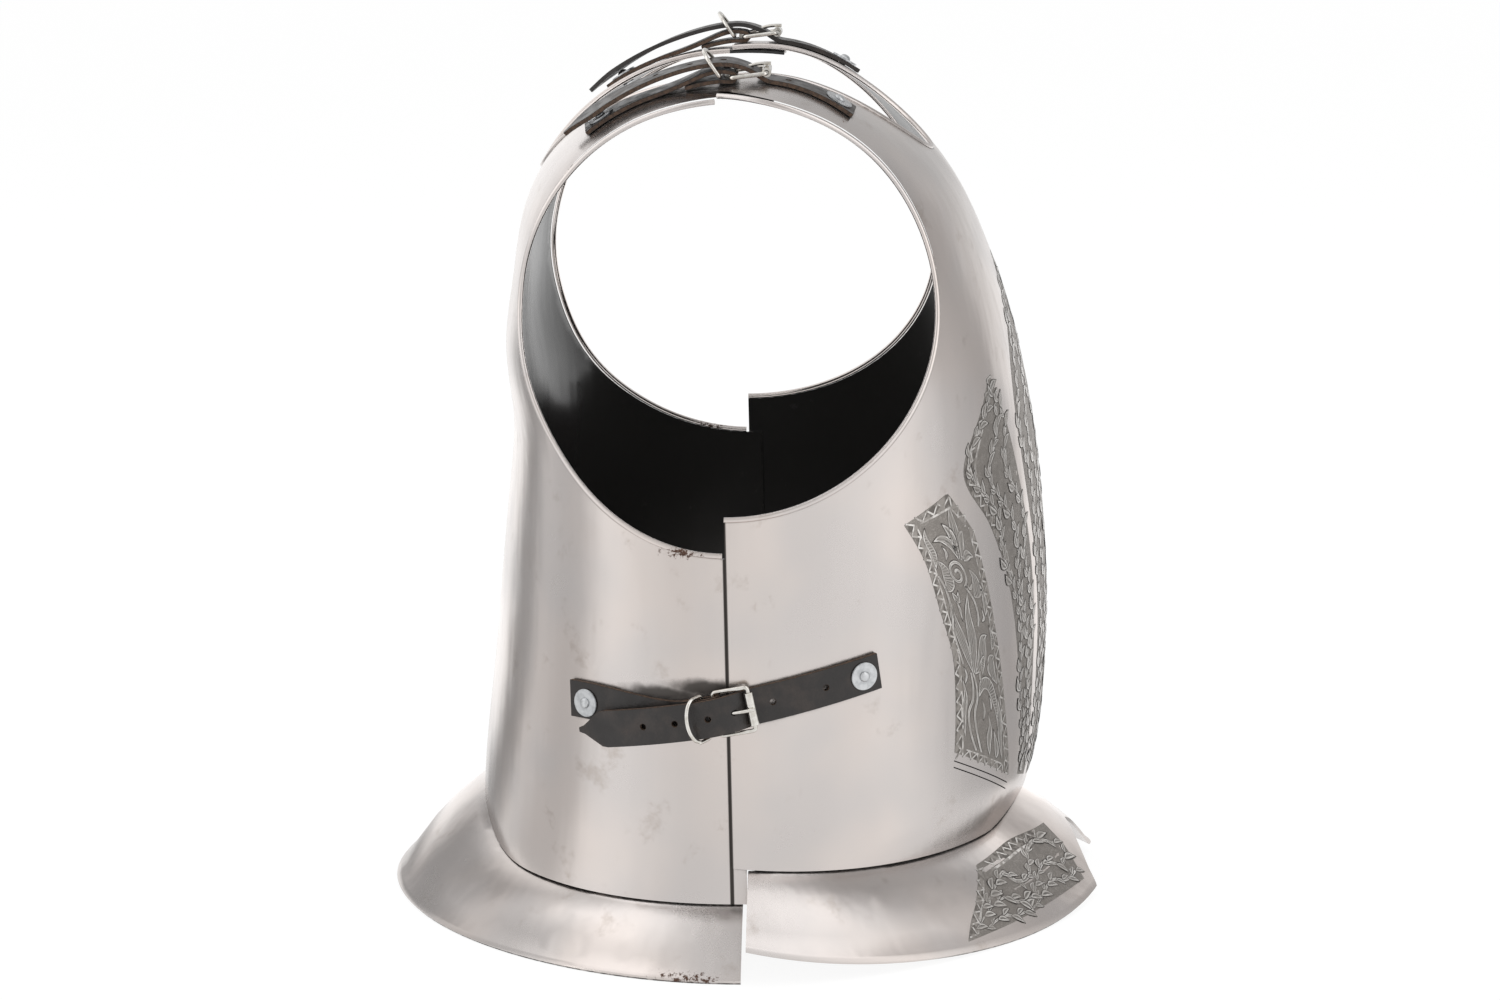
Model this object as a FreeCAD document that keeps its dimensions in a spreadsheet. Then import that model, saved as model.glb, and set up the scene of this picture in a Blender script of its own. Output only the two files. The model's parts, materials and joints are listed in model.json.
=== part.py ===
# Cuirass: a breastplate and a backplate held together by four buckled straps
#
# Millimetres, +Z up. The floor is Z = 0, the front of the breast looks along -Y, and the
# wearer's right is -X. Every driving size is a cell of the Sizes sheet.

import FreeCAD
import Part
import Sketcher

import math
import os

from FreeCAD import Matrix, Placement, Rotation, Vector

SIZES = (
    # the plates
    ("plate_thickness", 1.5),
    ("seam_clearance", 0.9),
    ("seam_y", 5.0),
    ("seam_lean", 4.0),
    ("seam_overlap", 7.4),
    ("seam_blend", 6.0),
    ("half_width", 168.0),
    ("breast_depth", 164.3),
    ("back_depth", 138.3),
    ("ridge_round", 6.0),
    ("breast_waist_front", 37.0),
    ("breast_waist_side", 52.0),
    ("breast_arch_rise", 15.0),
    ("breast_arch_half_width", 80.0),
    ("back_waist_height", 32.5),
    ("back_arch_rise", 22.0),
    ("back_arch_half_width", 115.0),
    # the armholes and the neck
    ("arm_centre_y", 7.0),
    ("arm_centre_height", 327.0),
    ("arm_axis_drop", 57.0),
    ("arm_half_length", 106.0),
    ("arm_rise", 111.5),
    ("breast_arm_drop", 95.0),
    ("back_arm_drop", 114.0),
    ("neck_half_width", 68.0),
    ("neck_centre_y", 7.0),
    ("neck_half_length", 102.5),
    ("breast_tab_end", 12.0),
    ("back_tab_end", 16.0),
    ("rim_radius", 1.4),
    ("rim_clearance", 0.05),
    # the skirts
    ("collar_height", 10.0),
    ("collar_clearance", 0.4),
    ("collar_lean", 2.4),
    ("back_collar_lean", 1.2),
    ("bend_radius", 2.2),
    ("hem_thickness", 2.6),
    ("breast_skirt_side_height", 23.0),
    ("breast_skirt_tip_lift", 10.0),
    ("breast_skirt_dip", 1.33),
    ("back_skirt_side_flare", 33.4),
    ("back_skirt_rear_flare", 50.5),
    ("back_skirt_end", 7.5),
    ("breast_fold_depth", 145.8),
    ("breast_skirt_side_flare", 36.4),
    ("breast_skirt_front_flare", 53.0),
    ("breast_skirt_end", 10.2),
    ("breast_collar_end", 13.8),
    ("notch_half_width", 40.0),
    ("notch_apex_y", 171.0),
    ("notch_corner_y", 187.0),
    # the straps
    ("strap_width", 19.0),
    ("strap_thickness", 2.2),
    ("strap_clearance", 0.3),
    ("fold_clearance", 0.15),
    ("side_chape_drift", 15.8),
    ("chape_return", 23.0),
    ("billet_peak", 8.8),
    ("shoulder_strap_inset", 78.0),
    ("side_strap_height", 134.5),
    ("side_buckle_y", 3.5),
    ("shoulder_buckle_y", -1.0),
    ("side_billet_rivet_run", 67.0),
    ("shoulder_billet_rivet_run", 46.0),
    ("strap_end_margin", 8.0),
    ("chape_rivet_run", 72.0),
    ("side_tail_run", 77.0),
    ("shoulder_tail_run", 87.0),
    ("tail_point_length", 12.0),
    ("strap_hole_radius", 1.6),
    ("strap_hole_pitch", 16.0),
    ("strap_hole_run", 21.3),
    ("far_strap_hole_run", 48.0),
    # the buckles
    ("wire_radius", 1.1),
    ("frame_length", 18.0),
    ("frame_inner_width", 20.4),
    ("frame_corner_radius", 1.7),
    ("bar_run", 7.0),
    ("bar_height", 3.9),
    ("roller_height", 5.6),
    ("roller_radius", 2.4),
    ("roller_length", 16.8),
    ("running_clearance", 0.25),
    ("prong_radius", 0.9),
    ("prong_eye_width", 2.6),
    ("prong_slot_width", 4.2),
    ("prong_overhang", 2.2),
    ("prong_clearance", 0.1),
    ("slot_clearance", 0.5),
    ("keeper_run", 12.4),
    ("keeper_height", 4.2),
    ("keeper_wire_radius", 1.0),
    ("keeper_corner_radius", 2.0),
    ("keeper_leg", 6.0),
    ("keeper_crown", 8.5),
    # the rivets
    ("rivet_shank_radius", 1.6),
    ("rivet_head_radius", 2.8),
    ("rivet_head_height", 1.9),
    ("inner_head_radius", 3.2),
    ("inner_head_height", 1.2),
    ("washer_radius", 7.2),
    ("washer_thickness", 0.9),
    ("rivet_clearance", 0.15),
    # room past the metal for cuts
    ("drill_reach", 8.0),
    ("tail_drill_reach", 24.0),
    ("overrun", 60.0),
)

# Angles in degrees, counts, and powers of curves
SIDE_STRAP_SLOPE = 12.5
KEEPER_LEAN = 34
BEND_TURN = 45
SECTION_POINTS = 15
DENSE_STEPS = 400
ARM_OUTLINE_STEPS = 40
RIM_POINTS = 40
ARCH_STEPS = 24
BEND_STEPS = 3
CHAPE_SAMPLES = 26
RETURN_SAMPLES = 9
FOLD_STEPS = 9
BILLET_SAMPLES = 56
BOW_STEPS = 12
TAIL_HOLES = 3
HOLES_UNDER_BUCKLE = 2
ARCH_POWER = 3
EDGE_POWER = 2.2
TIP_POWER = 12

# Names for the ways and kinds that the functions below take
FRONT = -1
REAR = 1
SAME_WAY = 1
HALF = 0.5
SHOULDER = "shoulder"
SIDE = "side"

document = FreeCAD.newDocument("cuirass")
sheet = document.addObject("Spreadsheet::Sheet", "Sizes")
for row, (alias, value) in enumerate(SIZES, start=1):
    sheet.set("A%d" % row, alias)
    sheet.set("B%d" % row, str(value))
    sheet.setAlias("B%d" % row, alias)
document.recompute()


def size(alias):
    """One driving size, read from the sheet."""
    return float(getattr(sheet, alias))


# Stations of the two plates, from the waist up
# Each plate is drawn as half sections. The lower ones lie level, at a share of the height
# of the arm axis. The upper ones turn about that axis until they stand over the shoulders.
# Columns: height share, turn in degrees, depth share, width share, fullness, ridge slope,
# and where the section ends beside the arm axis, as a share of the depth.
BREAST_STATION_SHARES = (
    (0.05, 0, 0.835, 1.005, 1.95, 0.11, -0.10),
    (0.17, 0, 0.922, 1.000, 1.95, 0.12, -0.10),
    (0.30, 0, 0.977, 0.994, 2.00, 0.13, -0.10),
    (0.48, 0, 1.000, 0.990, 2.05, 0.14, -0.10),
    (0.68, 0, 0.995, 0.985, 2.15, 0.13, -0.10),
    (0.87, 0, 0.965, 0.982, 2.25, 0.12, -0.08),
    (1.00, 0, 0.931, 0.976, 2.35, 0.10, 0.15),
    (1.00, 15, 0.907, 0.970, 2.50, 0.08, 0.27),
    (1.00, 30, 0.922, 0.964, 2.70, 0.06, 0.33),
    (1.00, 45, 0.972, 0.960, 3.10, 0.04, 0.36),
    (1.00, 60, 1.012, 0.962, 3.90, 0.02, 0.36),
    (1.00, 75, 1.047, 0.970, 5.60, 0.0, 0.36),
    (1.00, 87, 1.056, 0.976, 6.50, 0.0, 0.36),
    (1.00, 99, 1.056, 0.976, 6.50, 0.0, 0.36),
)
BACK_STATION_SHARES = (
    (0.05, 0, 0.998, 1.005, 2.10, 0.0, -0.15),
    (0.17, 0, 1.000, 1.000, 2.10, 0.0, -0.15),
    (0.30, 0, 0.987, 0.994, 2.10, 0.0, -0.15),
    (0.48, 0, 0.947, 0.990, 2.20, 0.0, -0.15),
    (0.68, 0, 0.911, 0.985, 2.30, 0.0, -0.15),
    (0.87, 0, 0.871, 0.982, 2.50, 0.0, -0.12),
    (1.00, 0, 0.862, 0.976, 2.80, 0.0, 0.17),
    (1.00, 15, 0.908, 0.970, 3.20, 0.0, 0.32),
    (1.00, 30, 0.975, 0.964, 3.50, 0.0, 0.39),
    (1.00, 45, 1.110, 0.960, 3.70, 0.0, 0.43),
    (1.00, 60, 1.200, 0.962, 4.20, 0.0, 0.43),
    (1.00, 75, 1.231, 0.970, 5.80, 0.0, 0.43),
    (1.00, 87, 1.2335, 0.976, 6.50, 0.0, 0.43),
    (1.00, 101, 1.2335, 0.976, 6.50, 0.0, 0.43),
)


def half_section(depth, half_width, fullness, ridge, end, ridge_round):
    """Even points (across, out) of half a section, from the middle line to its end."""
    dense = []
    for step in range(DENSE_STEPS + 1):
        angle = math.pi / 2 * (1 - step / DENSE_STEPS)
        across = half_width * math.cos(angle) ** (2 / fullness) if step else 0.0
        full = math.sin(angle) ** (2 / fullness) if step < DENSE_STEPS else 0.0
        keel = ridge * (math.hypot(across, ridge_round) - ridge_round)
        dense.append((across, full * (depth - keel)))
    if end < 0:
        dense.append((half_width, end))
    else:
        while dense[-2][1] < end:
            dense.pop()
        inner, outer = dense[-2], dense[-1]
        part = (inner[1] - end) / (inner[1] - outer[1])
        dense[-1] = (inner[0] + part * (outer[0] - inner[0]), end)
    lengths = [0.0]
    for first, second in zip(dense, dense[1:]):
        lengths.append(lengths[-1] + math.dist(first, second))
    points = []
    place = 0
    for number in range(SECTION_POINTS):
        wanted = lengths[-1] * number / (SECTION_POINTS - 1)
        while place < len(lengths) - 2 and lengths[place + 1] < wanted:
            place += 1
        part = (wanted - lengths[place]) / (lengths[place + 1] - lengths[place])
        first, second = dense[place], dense[place + 1]
        points.append(
            (first[0] + part * (second[0] - first[0]), first[1] + part * (second[1] - first[1]))
        )
    return points


def plate_grid(stations, whole_depth, facing, inset, side_inset):
    """Rows of points on one plate's surface, set in from its outer face by inset."""
    grid = []
    for height, turn, depth, width, fullness, ridge, end in stations:
        half = half_section(
            depth * whole_depth - inset,
            width * size("half_width") - side_inset - inset,
            fullness,
            ridge,
            end * whole_depth,
            size("ridge_round"),
        )
        whole = [(-across, out) for across, out in reversed(half[1:])] + half
        angle = math.radians(turn)
        arm_axis_height = size("arm_centre_height") - size("arm_axis_drop")
        grid.append(
            [
                Vector(
                    across,
                    size("seam_y") + facing * out * math.cos(angle),
                    height * arm_axis_height + out * math.sin(angle),
                )
                for across, out in whole
            ]
        )
    return grid


def surface_through(grid):
    """A smooth surface through rows of points."""
    surface = Part.BSplineSurface()
    surface.interpolate(grid)
    return surface


def sheet_metal(outer_grid, inner_grid):
    """A closed solid between an outer and an inner grid of points."""
    outer = surface_through(outer_grid)
    inner = surface_through(inner_grid)
    faces = [outer.toShape(), inner.toShape()]
    first_u, last_u, first_v, last_v = outer.bounds()
    inner_bounds = inner.bounds()
    for own, other in ((first_u, inner_bounds[0]), (last_u, inner_bounds[1])):
        faces.append(
            Part.makeRuledSurface(outer.uIso(own).toShape(), inner.uIso(other).toShape(), SAME_WAY)
        )
    for own, other in ((first_v, inner_bounds[2]), (last_v, inner_bounds[3])):
        faces.append(
            Part.makeRuledSurface(outer.vIso(own).toShape(), inner.vIso(other).toShape(), SAME_WAY)
        )
    shell = Part.makeShell(faces)
    shell.sewShape()
    solid = Part.makeSolid(shell)
    if solid.Volume < 0:
        solid.reverse()
    return solid


# Tools for cutting and for rims


def prism_between(points, low, high):
    """A solid swept along X from a polygon of (y, z) points."""
    corners = [Vector(low, y, z) for y, z in points]
    wire = Part.makePolygon(corners + corners[:1])
    return Part.Face(wire).extrude(Vector(high - low, 0, 0))


def armhole_cutter(whole_rise, drop, room):
    """A solid along X with the outline of the armhole, egg shaped below its centre."""
    reach = size("half_width") + size("overrun")
    points = []
    for step in range(ARM_OUTLINE_STEPS):
        angle = 2 * math.pi * step / ARM_OUTLINE_STEPS
        rise = whole_rise if math.sin(angle) > 0 else drop
        points.append(
            Vector(
                -reach,
                size("arm_centre_y") + (size("arm_half_length") + room) * math.cos(angle),
                size("arm_centre_height") + (rise + room) * math.sin(angle),
            )
        )
    outline = Part.BSplineCurve()
    outline.interpolate(points, PeriodicFlag=True)
    return Part.Face(Part.Wire(outline.toShape())).extrude(Vector(2 * reach, 0, 0))


def neck_cutter(room):
    """An upright solid with the outline of the neck opening."""
    level = size("arm_centre_height")
    outline = Part.Ellipse(
        Vector(0, size("neck_centre_y") + size("neck_half_length") + room, level),
        Vector(size("neck_half_width") + room, size("neck_centre_y"), level),
        Vector(0, size("neck_centre_y"), level),
    )
    rise = size("arm_rise") + size("overrun")
    return Part.Face(Part.Wire(outline.toShape())).extrude(Vector(0, 0, rise))


def spline_through(points):
    """A smooth edge through points."""
    curve = Part.BSplineCurve()
    curve.interpolate(points)
    return curve.toShape()


def round_bar(path, radius):
    """A round bar along a path of one or more smooth edges."""
    wire = Part.Wire(path)
    first = path[0]
    start = first.valueAt(first.FirstParameter)
    along = first.tangentAt(first.FirstParameter)
    profile = Part.Wire(Part.makeCircle(radius, start, along))
    bar = wire.makePipeShell([profile], True, False)
    if bar.Volume < 0:
        bar.reverse()
    return bar


def rolled_rim(edges, turn_of):
    """A round bead along edges, taken in the order of their turn round an opening."""
    points = []
    for edge in edges:
        points += edge.discretize(Number=RIM_POINTS)
    points.sort(key=turn_of)
    spaced = [points[0]]
    for point in points[1:-1]:
        near = min(point.distanceToPoint(spaced[-1]), point.distanceToPoint(points[-1]))
        if near > size("rim_radius"):
            spaced.append(point)
    spaced.append(points[-1])
    even = spline_through(spaced).discretize(Number=RIM_POINTS)
    return round_bar([spline_through(even)], size("rim_radius"))


def rim_edges(outer_face, cutter, trims):
    """The line where a cutter leaves the outer face of a plate, trimmed at its ends."""
    edges = outer_face.section(cutter)
    for trim in trims:
        edges = edges.cut(trim)
    return edges.Edges


def seam_line(height):
    """Y of the breast's rear edge at a height."""
    corner = size("arm_centre_height") - size("breast_arm_drop")
    share = (height - size("breast_waist_side")) / (corner - size("breast_waist_side"))
    return size("seam_y") + size("seam_lean") * (share - HALF)


def breast_waist(y):
    """Height of the breast's lower edge beside its arch, at a place along the object."""
    slope = (size("breast_waist_side") - size("breast_waist_front")) / size("breast_depth")
    return size("breast_waist_side") - slope * (size("seam_y") - y)


def back_waist(y):
    """Height of the back's lower edge beside its arch."""
    return size("back_waist_height")


def arch(across, rise, half_width):
    """How far the lower edge lifts near the middle line."""
    if abs(across) >= half_width:
        return 0.0
    return rise * (1 - (across / half_width) ** 2) ** ARCH_POWER


reach = size("half_width") + size("overrun")
far = size("breast_depth") + size("overrun")
arm_level = size("arm_centre_height")
top = arm_level + far
tab_base = arm_level + size("arm_rise") * HALF


def trims_for(waist, arch_size, facing, overlap, tab_end):
    """Solids that trim a plate at its waist, at its seam and at the end of its tabs."""
    under = prism_between(
        ((-far, waist(-far)), (far, waist(far)), (far, -far), (-far, -far)), -reach, reach
    )
    level = waist(size("seam_y") + facing * size("breast_depth"))
    curve = []
    for step in range(ARCH_STEPS + 1):
        across = arch_size[1] * (2 * step / ARCH_STEPS - 1)
        curve.append(Vector(across, 0, level + arch(across, *arch_size)))
    low = [Vector(arch_size[1], 0, level - far), Vector(-arch_size[1], 0, level - far)]
    edges = [spline_through(curve)]
    for first, second in zip([curve[-1]] + low, low + [curve[0]]):
        edges.append(Part.makeLine(first, second))
    arch_under = Part.Face(Part.Wire(edges)).extrude(Vector(0, facing * far, 0))
    past = prism_between(
        (
            (seam_line(-far) - overlap, -far),
            (seam_line(tab_base) - overlap, tab_base),
            (-facing * far, tab_base),
            (-facing * far, -far),
        ),
        -reach,
        reach,
    )
    tab = prism_between(
        ((tab_end, arm_level), (tab_end, top), (-facing * far, top), (-facing * far, arm_level)),
        -reach,
        reach,
    )
    return [under, arch_under, past, tab]


def plate(stations, whole_depth, facing, side_inset, arm, trims, rim_trims):
    """One plate with its openings cut: its solid, its rolled rims and its outer surface."""
    grids = []
    for inset in (0.0, size("plate_thickness")):
        grids.append(plate_grid(stations, whole_depth, facing, inset, side_inset))
    room = size("rim_radius") + size("rim_clearance")
    shell = sheet_metal(grids[0], grids[1])
    for cutter in [armhole_cutter(*arm, room), neck_cutter(room)] + trims:
        shell = shell.cut(cutter)
    surface = surface_through(grids[0])
    outer_face = surface.toShape()

    def arm_turn(point):
        out = facing * (point.y - size("arm_centre_y"))
        return math.atan2(point.z - size("arm_centre_height"), out)

    def neck_turn(point):
        return math.atan2(point.x, facing * (point.y - size("neck_centre_y")))

    rims = {}
    arm_edges = rim_edges(outer_face, armhole_cutter(*arm, 0.0), rim_trims)
    for hand, way in (("right", -1), ("left", 1)):
        own = [edge for edge in arm_edges if way * edge.CenterOfMass.x > 0]
        rims["arm_rim_%s" % hand] = rolled_rim(own, arm_turn)
    neck_edges = rim_edges(outer_face, neck_cutter(0.0), rim_trims)
    rims["neck_rim"] = rolled_rim(neck_edges, neck_turn)
    return shell, rims, surface


# The skirts

# Columns: share of the flare, share of the drop, share of the hem's extra thickness
FLARE_SHARES = (
    (0.12, 0.07, 0.0),
    (0.35, 0.25, 0.0),
    (0.62, 0.53, 0.0),
    (0.88, 0.865, 0.0),
    (0.94, 0.935, 1.0),
    (0.98, 0.98, 1.0),
    (1.0, 1.0, 0.0),
)


def skirt_profile():
    """Rows of a skirt: own out, flare share, own down, drop share, half thickness, tilt."""
    half = size("plate_thickness") / 2
    hem = size("hem_thickness") / 2
    radius = size("bend_radius")
    rise = radius / 2
    rows = []
    rows.append((-half, 0.0, -rise - size("collar_height"), 0.0, half, 0, 1.0))
    for step in range(BEND_STEPS):
        turn = BEND_TURN * step / (BEND_STEPS - 1)
        angle = math.radians(turn)
        out = radius - (radius + half) * math.cos(angle)
        down = (radius + half) * math.sin(angle) - rise
        rows.append((out, 0.0, down, 0.0, half, turn, 0.0))
    bend_out, bend_down = rows[-1][0], rows[-1][2]
    for flare, drop, swell in FLARE_SHARES:
        thick = half + swell * (hem - half)
        rows.append((bend_out, flare, bend_down * (1 - drop), drop, thick, BEND_TURN, 0.0))
    return rows


def skirt(facing, half_width, depth, flares, fullness, ridge, end, waist, arch_size, edge, lean):
    """A skirt: a collar inside the plate, a bend and a flare with a hemmed edge."""

    def row_of(out, flare, leaning):
        half = half_section(
            depth + out + flare * flares[1] + leaning * lean,
            half_width + out + flare * flares[0],
            fullness[0] + (fullness[1] - fullness[0]) * flare,
            ridge * (1 - flare),
            end,
            size("ridge_round"),
        )
        return [(-across, out) for across, out in reversed(half[1:])] + half

    folds = []
    lowest = waist(size("seam_y") + facing * size("breast_depth"))
    for across, out in row_of(0.0, 0.0, 0.0):
        level = max(waist(size("seam_y") + facing * out), lowest + arch(across, *arch_size))
        front = max(0.0, out / depth)
        low = size("plate_thickness") / 2 * math.sin(math.radians(BEND_TURN)) - edge[2]
        low += edge[0] * (1 - front) ** EDGE_POWER
        folds.append((level, low + edge[1] * front**TIP_POWER))
    outer_rows = []
    inner_rows = []
    for own_out, flare, own_down, drop, thick, turn, leaning in skirt_profile():
        angle = math.radians(turn)
        for rows, way in ((outer_rows, 1), (inner_rows, -1)):
            out = own_out + way * thick * math.cos(angle)
            down = own_down - way * thick * math.sin(angle)
            points = []
            for (across, far_out), (level, low) in zip(row_of(out, flare, leaning), folds):
                y = size("seam_y") + facing * far_out
                points.append(Vector(across, y, level - down - drop * (level - low)))
            rows.append(points)
    ribs = []
    for number in range(len(folds)):
        corners = [row[number] for row in outer_rows]
        corners += [row[number] for row in reversed(inner_rows)]
        ribs.append(Part.makePolygon(corners + corners[:1]))
    ring = Part.makeLoft(ribs, True, False)
    if ring.Volume < 0:
        ring.reverse()
    return ring


# Where the straps lie on the plates


def foot(kind, along, aside):
    """The point of the plates under a strap, and the outward direction there."""
    if kind == SHOULDER:
        y = size("shoulder_buckle_y") + along
        start = Vector(size("shoulder_strap_inset") - size("half_width") - aside, y, top)
        way = Vector(0, 0, -1)
    else:
        slope = math.radians(SIDE_STRAP_SLOPE)
        y = size("side_buckle_y") + along * math.cos(slope) + aside * math.sin(slope)
        z = size("side_strap_height") - along * math.sin(slope) + aside * math.cos(slope)
        start = Vector(-reach, y, z)
        way = Vector(1, 0, 0)
    share = (y - size("seam_y")) / (2 * size("seam_blend")) + HALF
    share = max(0.0, min(1.0, share))
    place = Vector(0, 0, 0)
    outward = Vector(0, 0, 0)
    ray = Part.LineSegment(start, start + way * reach)
    for surface, lift, part in ((breast_surface, 0.0, 1 - share), (back_surface, nest, share)):
        if not part:
            continue
        hits, _ = ray.intersectCS(surface)
        points = [Vector(point.X, point.Y, point.Z) for point in hits]
        hit = min(points, key=start.distanceToPoint)
        normal = surface.normal(*surface.parameter(hit))
        if normal.dot(way) > 0:
            normal = -normal
        place += (hit + normal * lift) * part
        outward += normal * part
    return place, outward.normalize()


def spot(kind, along, lift, aside=0.0):
    """A point at a run along a strap, a lift off the plates and a shift aside."""
    base, normal = foot(kind, along, aside)
    return base + normal * lift


def frame_at(kind, along, lift, aside=0.0):
    """A placement there: X across the strap, Y along it to the rear, Z outward."""
    step = size("wire_radius")
    base, normal = foot(kind, along, aside)
    ahead = foot(kind, along + step, aside)[0]
    behind = foot(kind, along - step, aside)[0]
    run = ahead - behind
    run = (run - normal * run.dot(normal)).normalize()
    across = run.cross(normal)
    origin = base + normal * lift
    return Placement(
        Matrix(
            across.x, run.x, normal.x, origin.x,
            across.y, run.y, normal.y, origin.y,
            across.z, run.z, normal.z, origin.z,
            0, 0, 0, 1,
        )
    )


def smooth_path(points, count):
    """Even samples of a smooth curve through (along, lift, aside) points."""
    curve = Part.BSplineCurve()
    curve.interpolate([Vector(*point) for point in points])
    return [tuple(point) for point in curve.discretize(Number=count)]


def ribbon(kind, path, widths):
    """A leather strap along a path, as rectangles joined by flat faces."""
    places = [spot(kind, *point) for point in path]
    half = size("strap_thickness") / 2
    wires = []
    for number, (point, place) in enumerate(zip(path, places)):
        before = places[max(number - 1, 0)]
        after = places[min(number + 1, len(places) - 1)]
        run = (after - before).normalize()
        across = Vector(*[frame_at(kind, *point).Matrix.A[i] for i in (0, 4, 8)])
        flat = run.cross(across).normalize()
        across = flat.cross(run).normalize()
        side = across * (widths[number] / 2)
        up = flat * half
        corners = [place + side + up, place - side + up, place - side - up, place + side - up]
        wires.append(Part.makePolygon(corners + corners[:1]))
    strap = Part.makeLoft(wires, True, True)
    if strap.Volume < 0:
        strap.reverse()
    return strap


def drill(kind, along, aside, radius):
    """A round cutter through strap and plate."""
    place = frame_at(kind, along, -size("drill_reach"), aside)
    cutter = Part.makeCylinder(radius, 2 * size("drill_reach"))
    cutter.Placement = place
    return cutter


# Columns: share of the run from the bar to the rivet, share of the lift at the bar, and share
# of the sideways drift
CHAPE_UPPER_SHARES = (
    (0.0, 1.0, 0.0),
    (0.07, 1.06, 0.0),
    (0.15, 0.93, 0.02),
    (0.26, 0.55, 0.06),
    (0.38, 0.20, 0.16),
    (0.50, 0.03, 0.32),
    (0.62, 0.0, 0.52),
    (0.80, 0.0, 0.80),
    (1.0, 0.0, 1.0),
)
# Columns: share of the returning end's run, share of its lift
CHAPE_LOWER_SHARES = ((0.0, 1.0), (0.28, 1.0), (0.56, 0.72), (0.82, 0.36), (1.0, 0.12))
# Columns: share of the frame's length, share of the crest's lift
BILLET_SHARES = (
    (-1.11, 0.0),
    (-0.80, 0.0),
    (-0.61, 0.045),
    (-0.44, 0.215),
    (-0.28, 0.44),
    (-0.06, 0.70),
    (0.17, 0.89),
)
# Columns: share of the run from the bar to the tail's point, share of the fall from the crest
TAIL_SHARES = {
    SIDE: ((0.0, 1.0), (0.10, 1.0), (0.21, 0.86), (0.38, 0.61), (0.62, 0.28), (1.0, 0.02)),
    SHOULDER: (
        (0.0, 1.0),
        (0.09, 1.0),
        (0.2, 0.84),
        (0.38, 0.5),
        (0.6, 0.19),
        (0.8, 0.02),
        (1.0, 0.0),
    ),
}
TAIL_BLUNT_SHARE = 0.12


def chape_path(kind, far_run):
    """The buckle's leather: from its rivet to the bar, round the bar and back under."""
    thick = size("strap_thickness")
    bar = size("bar_run")
    height = size("bar_height")
    turn = size("wire_radius") + size("fold_clearance") + thick / 2
    flat = -nest + size("strap_clearance") + thick / 2
    rise = height + turn
    drift = size("side_chape_drift") if kind == SIDE else 0.0
    upper = []
    for run_share, lift_share, drift_share in CHAPE_UPPER_SHARES:
        upper.append(
            (
                bar + run_share * (far_run - bar),
                flat + lift_share * (rise - flat),
                drift * drift_share,
            )
        )
    path = list(reversed(smooth_path(upper, CHAPE_SAMPLES)))
    for step in range(1, FOLD_STEPS):
        angle = math.pi / 2 - math.pi * step / FOLD_STEPS
        path.append((bar - turn * math.cos(angle), height + turn * math.sin(angle), 0.0))
    under = height - turn
    lower = []
    for run_share, lift_share in CHAPE_LOWER_SHARES:
        lower.append(
            (bar + run_share * size("chape_return"), flat + lift_share * (under - flat), 0.0)
        )
    return path + smooth_path(lower, RETURN_SAMPLES)


def billet_path(kind, rivet_run, tail_run):
    """The long leather: over the breast, under the roller, over the bar, along the chape."""
    thick = size("strap_thickness")
    bar = size("bar_run")
    flat = size("strap_clearance") + thick / 2
    start = -rivet_run - size("strap_end_margin")
    peak = size("billet_peak")
    points = [(start, flat, 0.0), (start / 2, flat, 0.0)]
    for run_share, lift_share in BILLET_SHARES:
        points.append((run_share * size("frame_length"), flat + lift_share * peak, 0.0))
    rest = -nest + 2 * size("strap_clearance") + thick + thick / 2
    if kind == SHOULDER:
        rest += size("washer_thickness") + size("rivet_clearance") + size("rivet_head_height")
    for run_share, lift_share in TAIL_SHARES[kind]:
        points.append(
            (bar + run_share * (tail_run - bar), rest + lift_share * (peak + flat - rest), 0.0)
        )
    return smooth_path(points, BILLET_SAMPLES)


def billet_widths(path, tail_run):
    """Full width, then tapering to the pointed tail."""
    widths = []
    for along, _, _ in path:
        left = (tail_run - along) / size("tail_point_length")
        widths.append(size("strap_width") * max(TAIL_BLUNT_SHARE, min(1.0, left)))
    return widths


# The pieces of wire and the small fasteners, each drawn at the origin


def bent_wire(points, radius, corner, closed):
    """A round wire along straight runs with rounded corners."""
    points = [Vector(*point) for point in points]
    if closed:
        middle = (points[0] + points[-1]) * HALF
        points = [middle] + points + [middle]
    edges = []
    start = points[0]
    for before, point, after in zip(points, points[1:], points[2:]):
        back_way = (before - point).normalize()
        on_way = (after - point).normalize()
        half_angle = back_way.getAngle(on_way) / 2
        reach_back = corner / math.tan(half_angle)
        first = point + back_way * reach_back
        last = point + on_way * reach_back
        bisector = (back_way + on_way).normalize()
        middle = point + bisector * (corner / math.sin(half_angle) - corner)
        edges.append(Part.makeLine(start, first))
        edges.append(Part.Arc(first, middle, last).toShape())
        start = last
    edges.append(Part.makeLine(start, points[-1]))
    return round_bar(edges, radius)


def frame_shape():
    """The buckle's frame: a bar at the origin, two arms and the roller's axle in front."""
    half = size("frame_inner_width") / 2 + size("wire_radius")
    rise = size("roller_height") - size("bar_height")
    run = size("frame_length")
    corners = [(half, -run, rise), (half, 0, 0), (-half, 0, 0), (-half, -run, rise)]
    return bent_wire(corners, size("wire_radius"), size("frame_corner_radius"), True)


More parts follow.
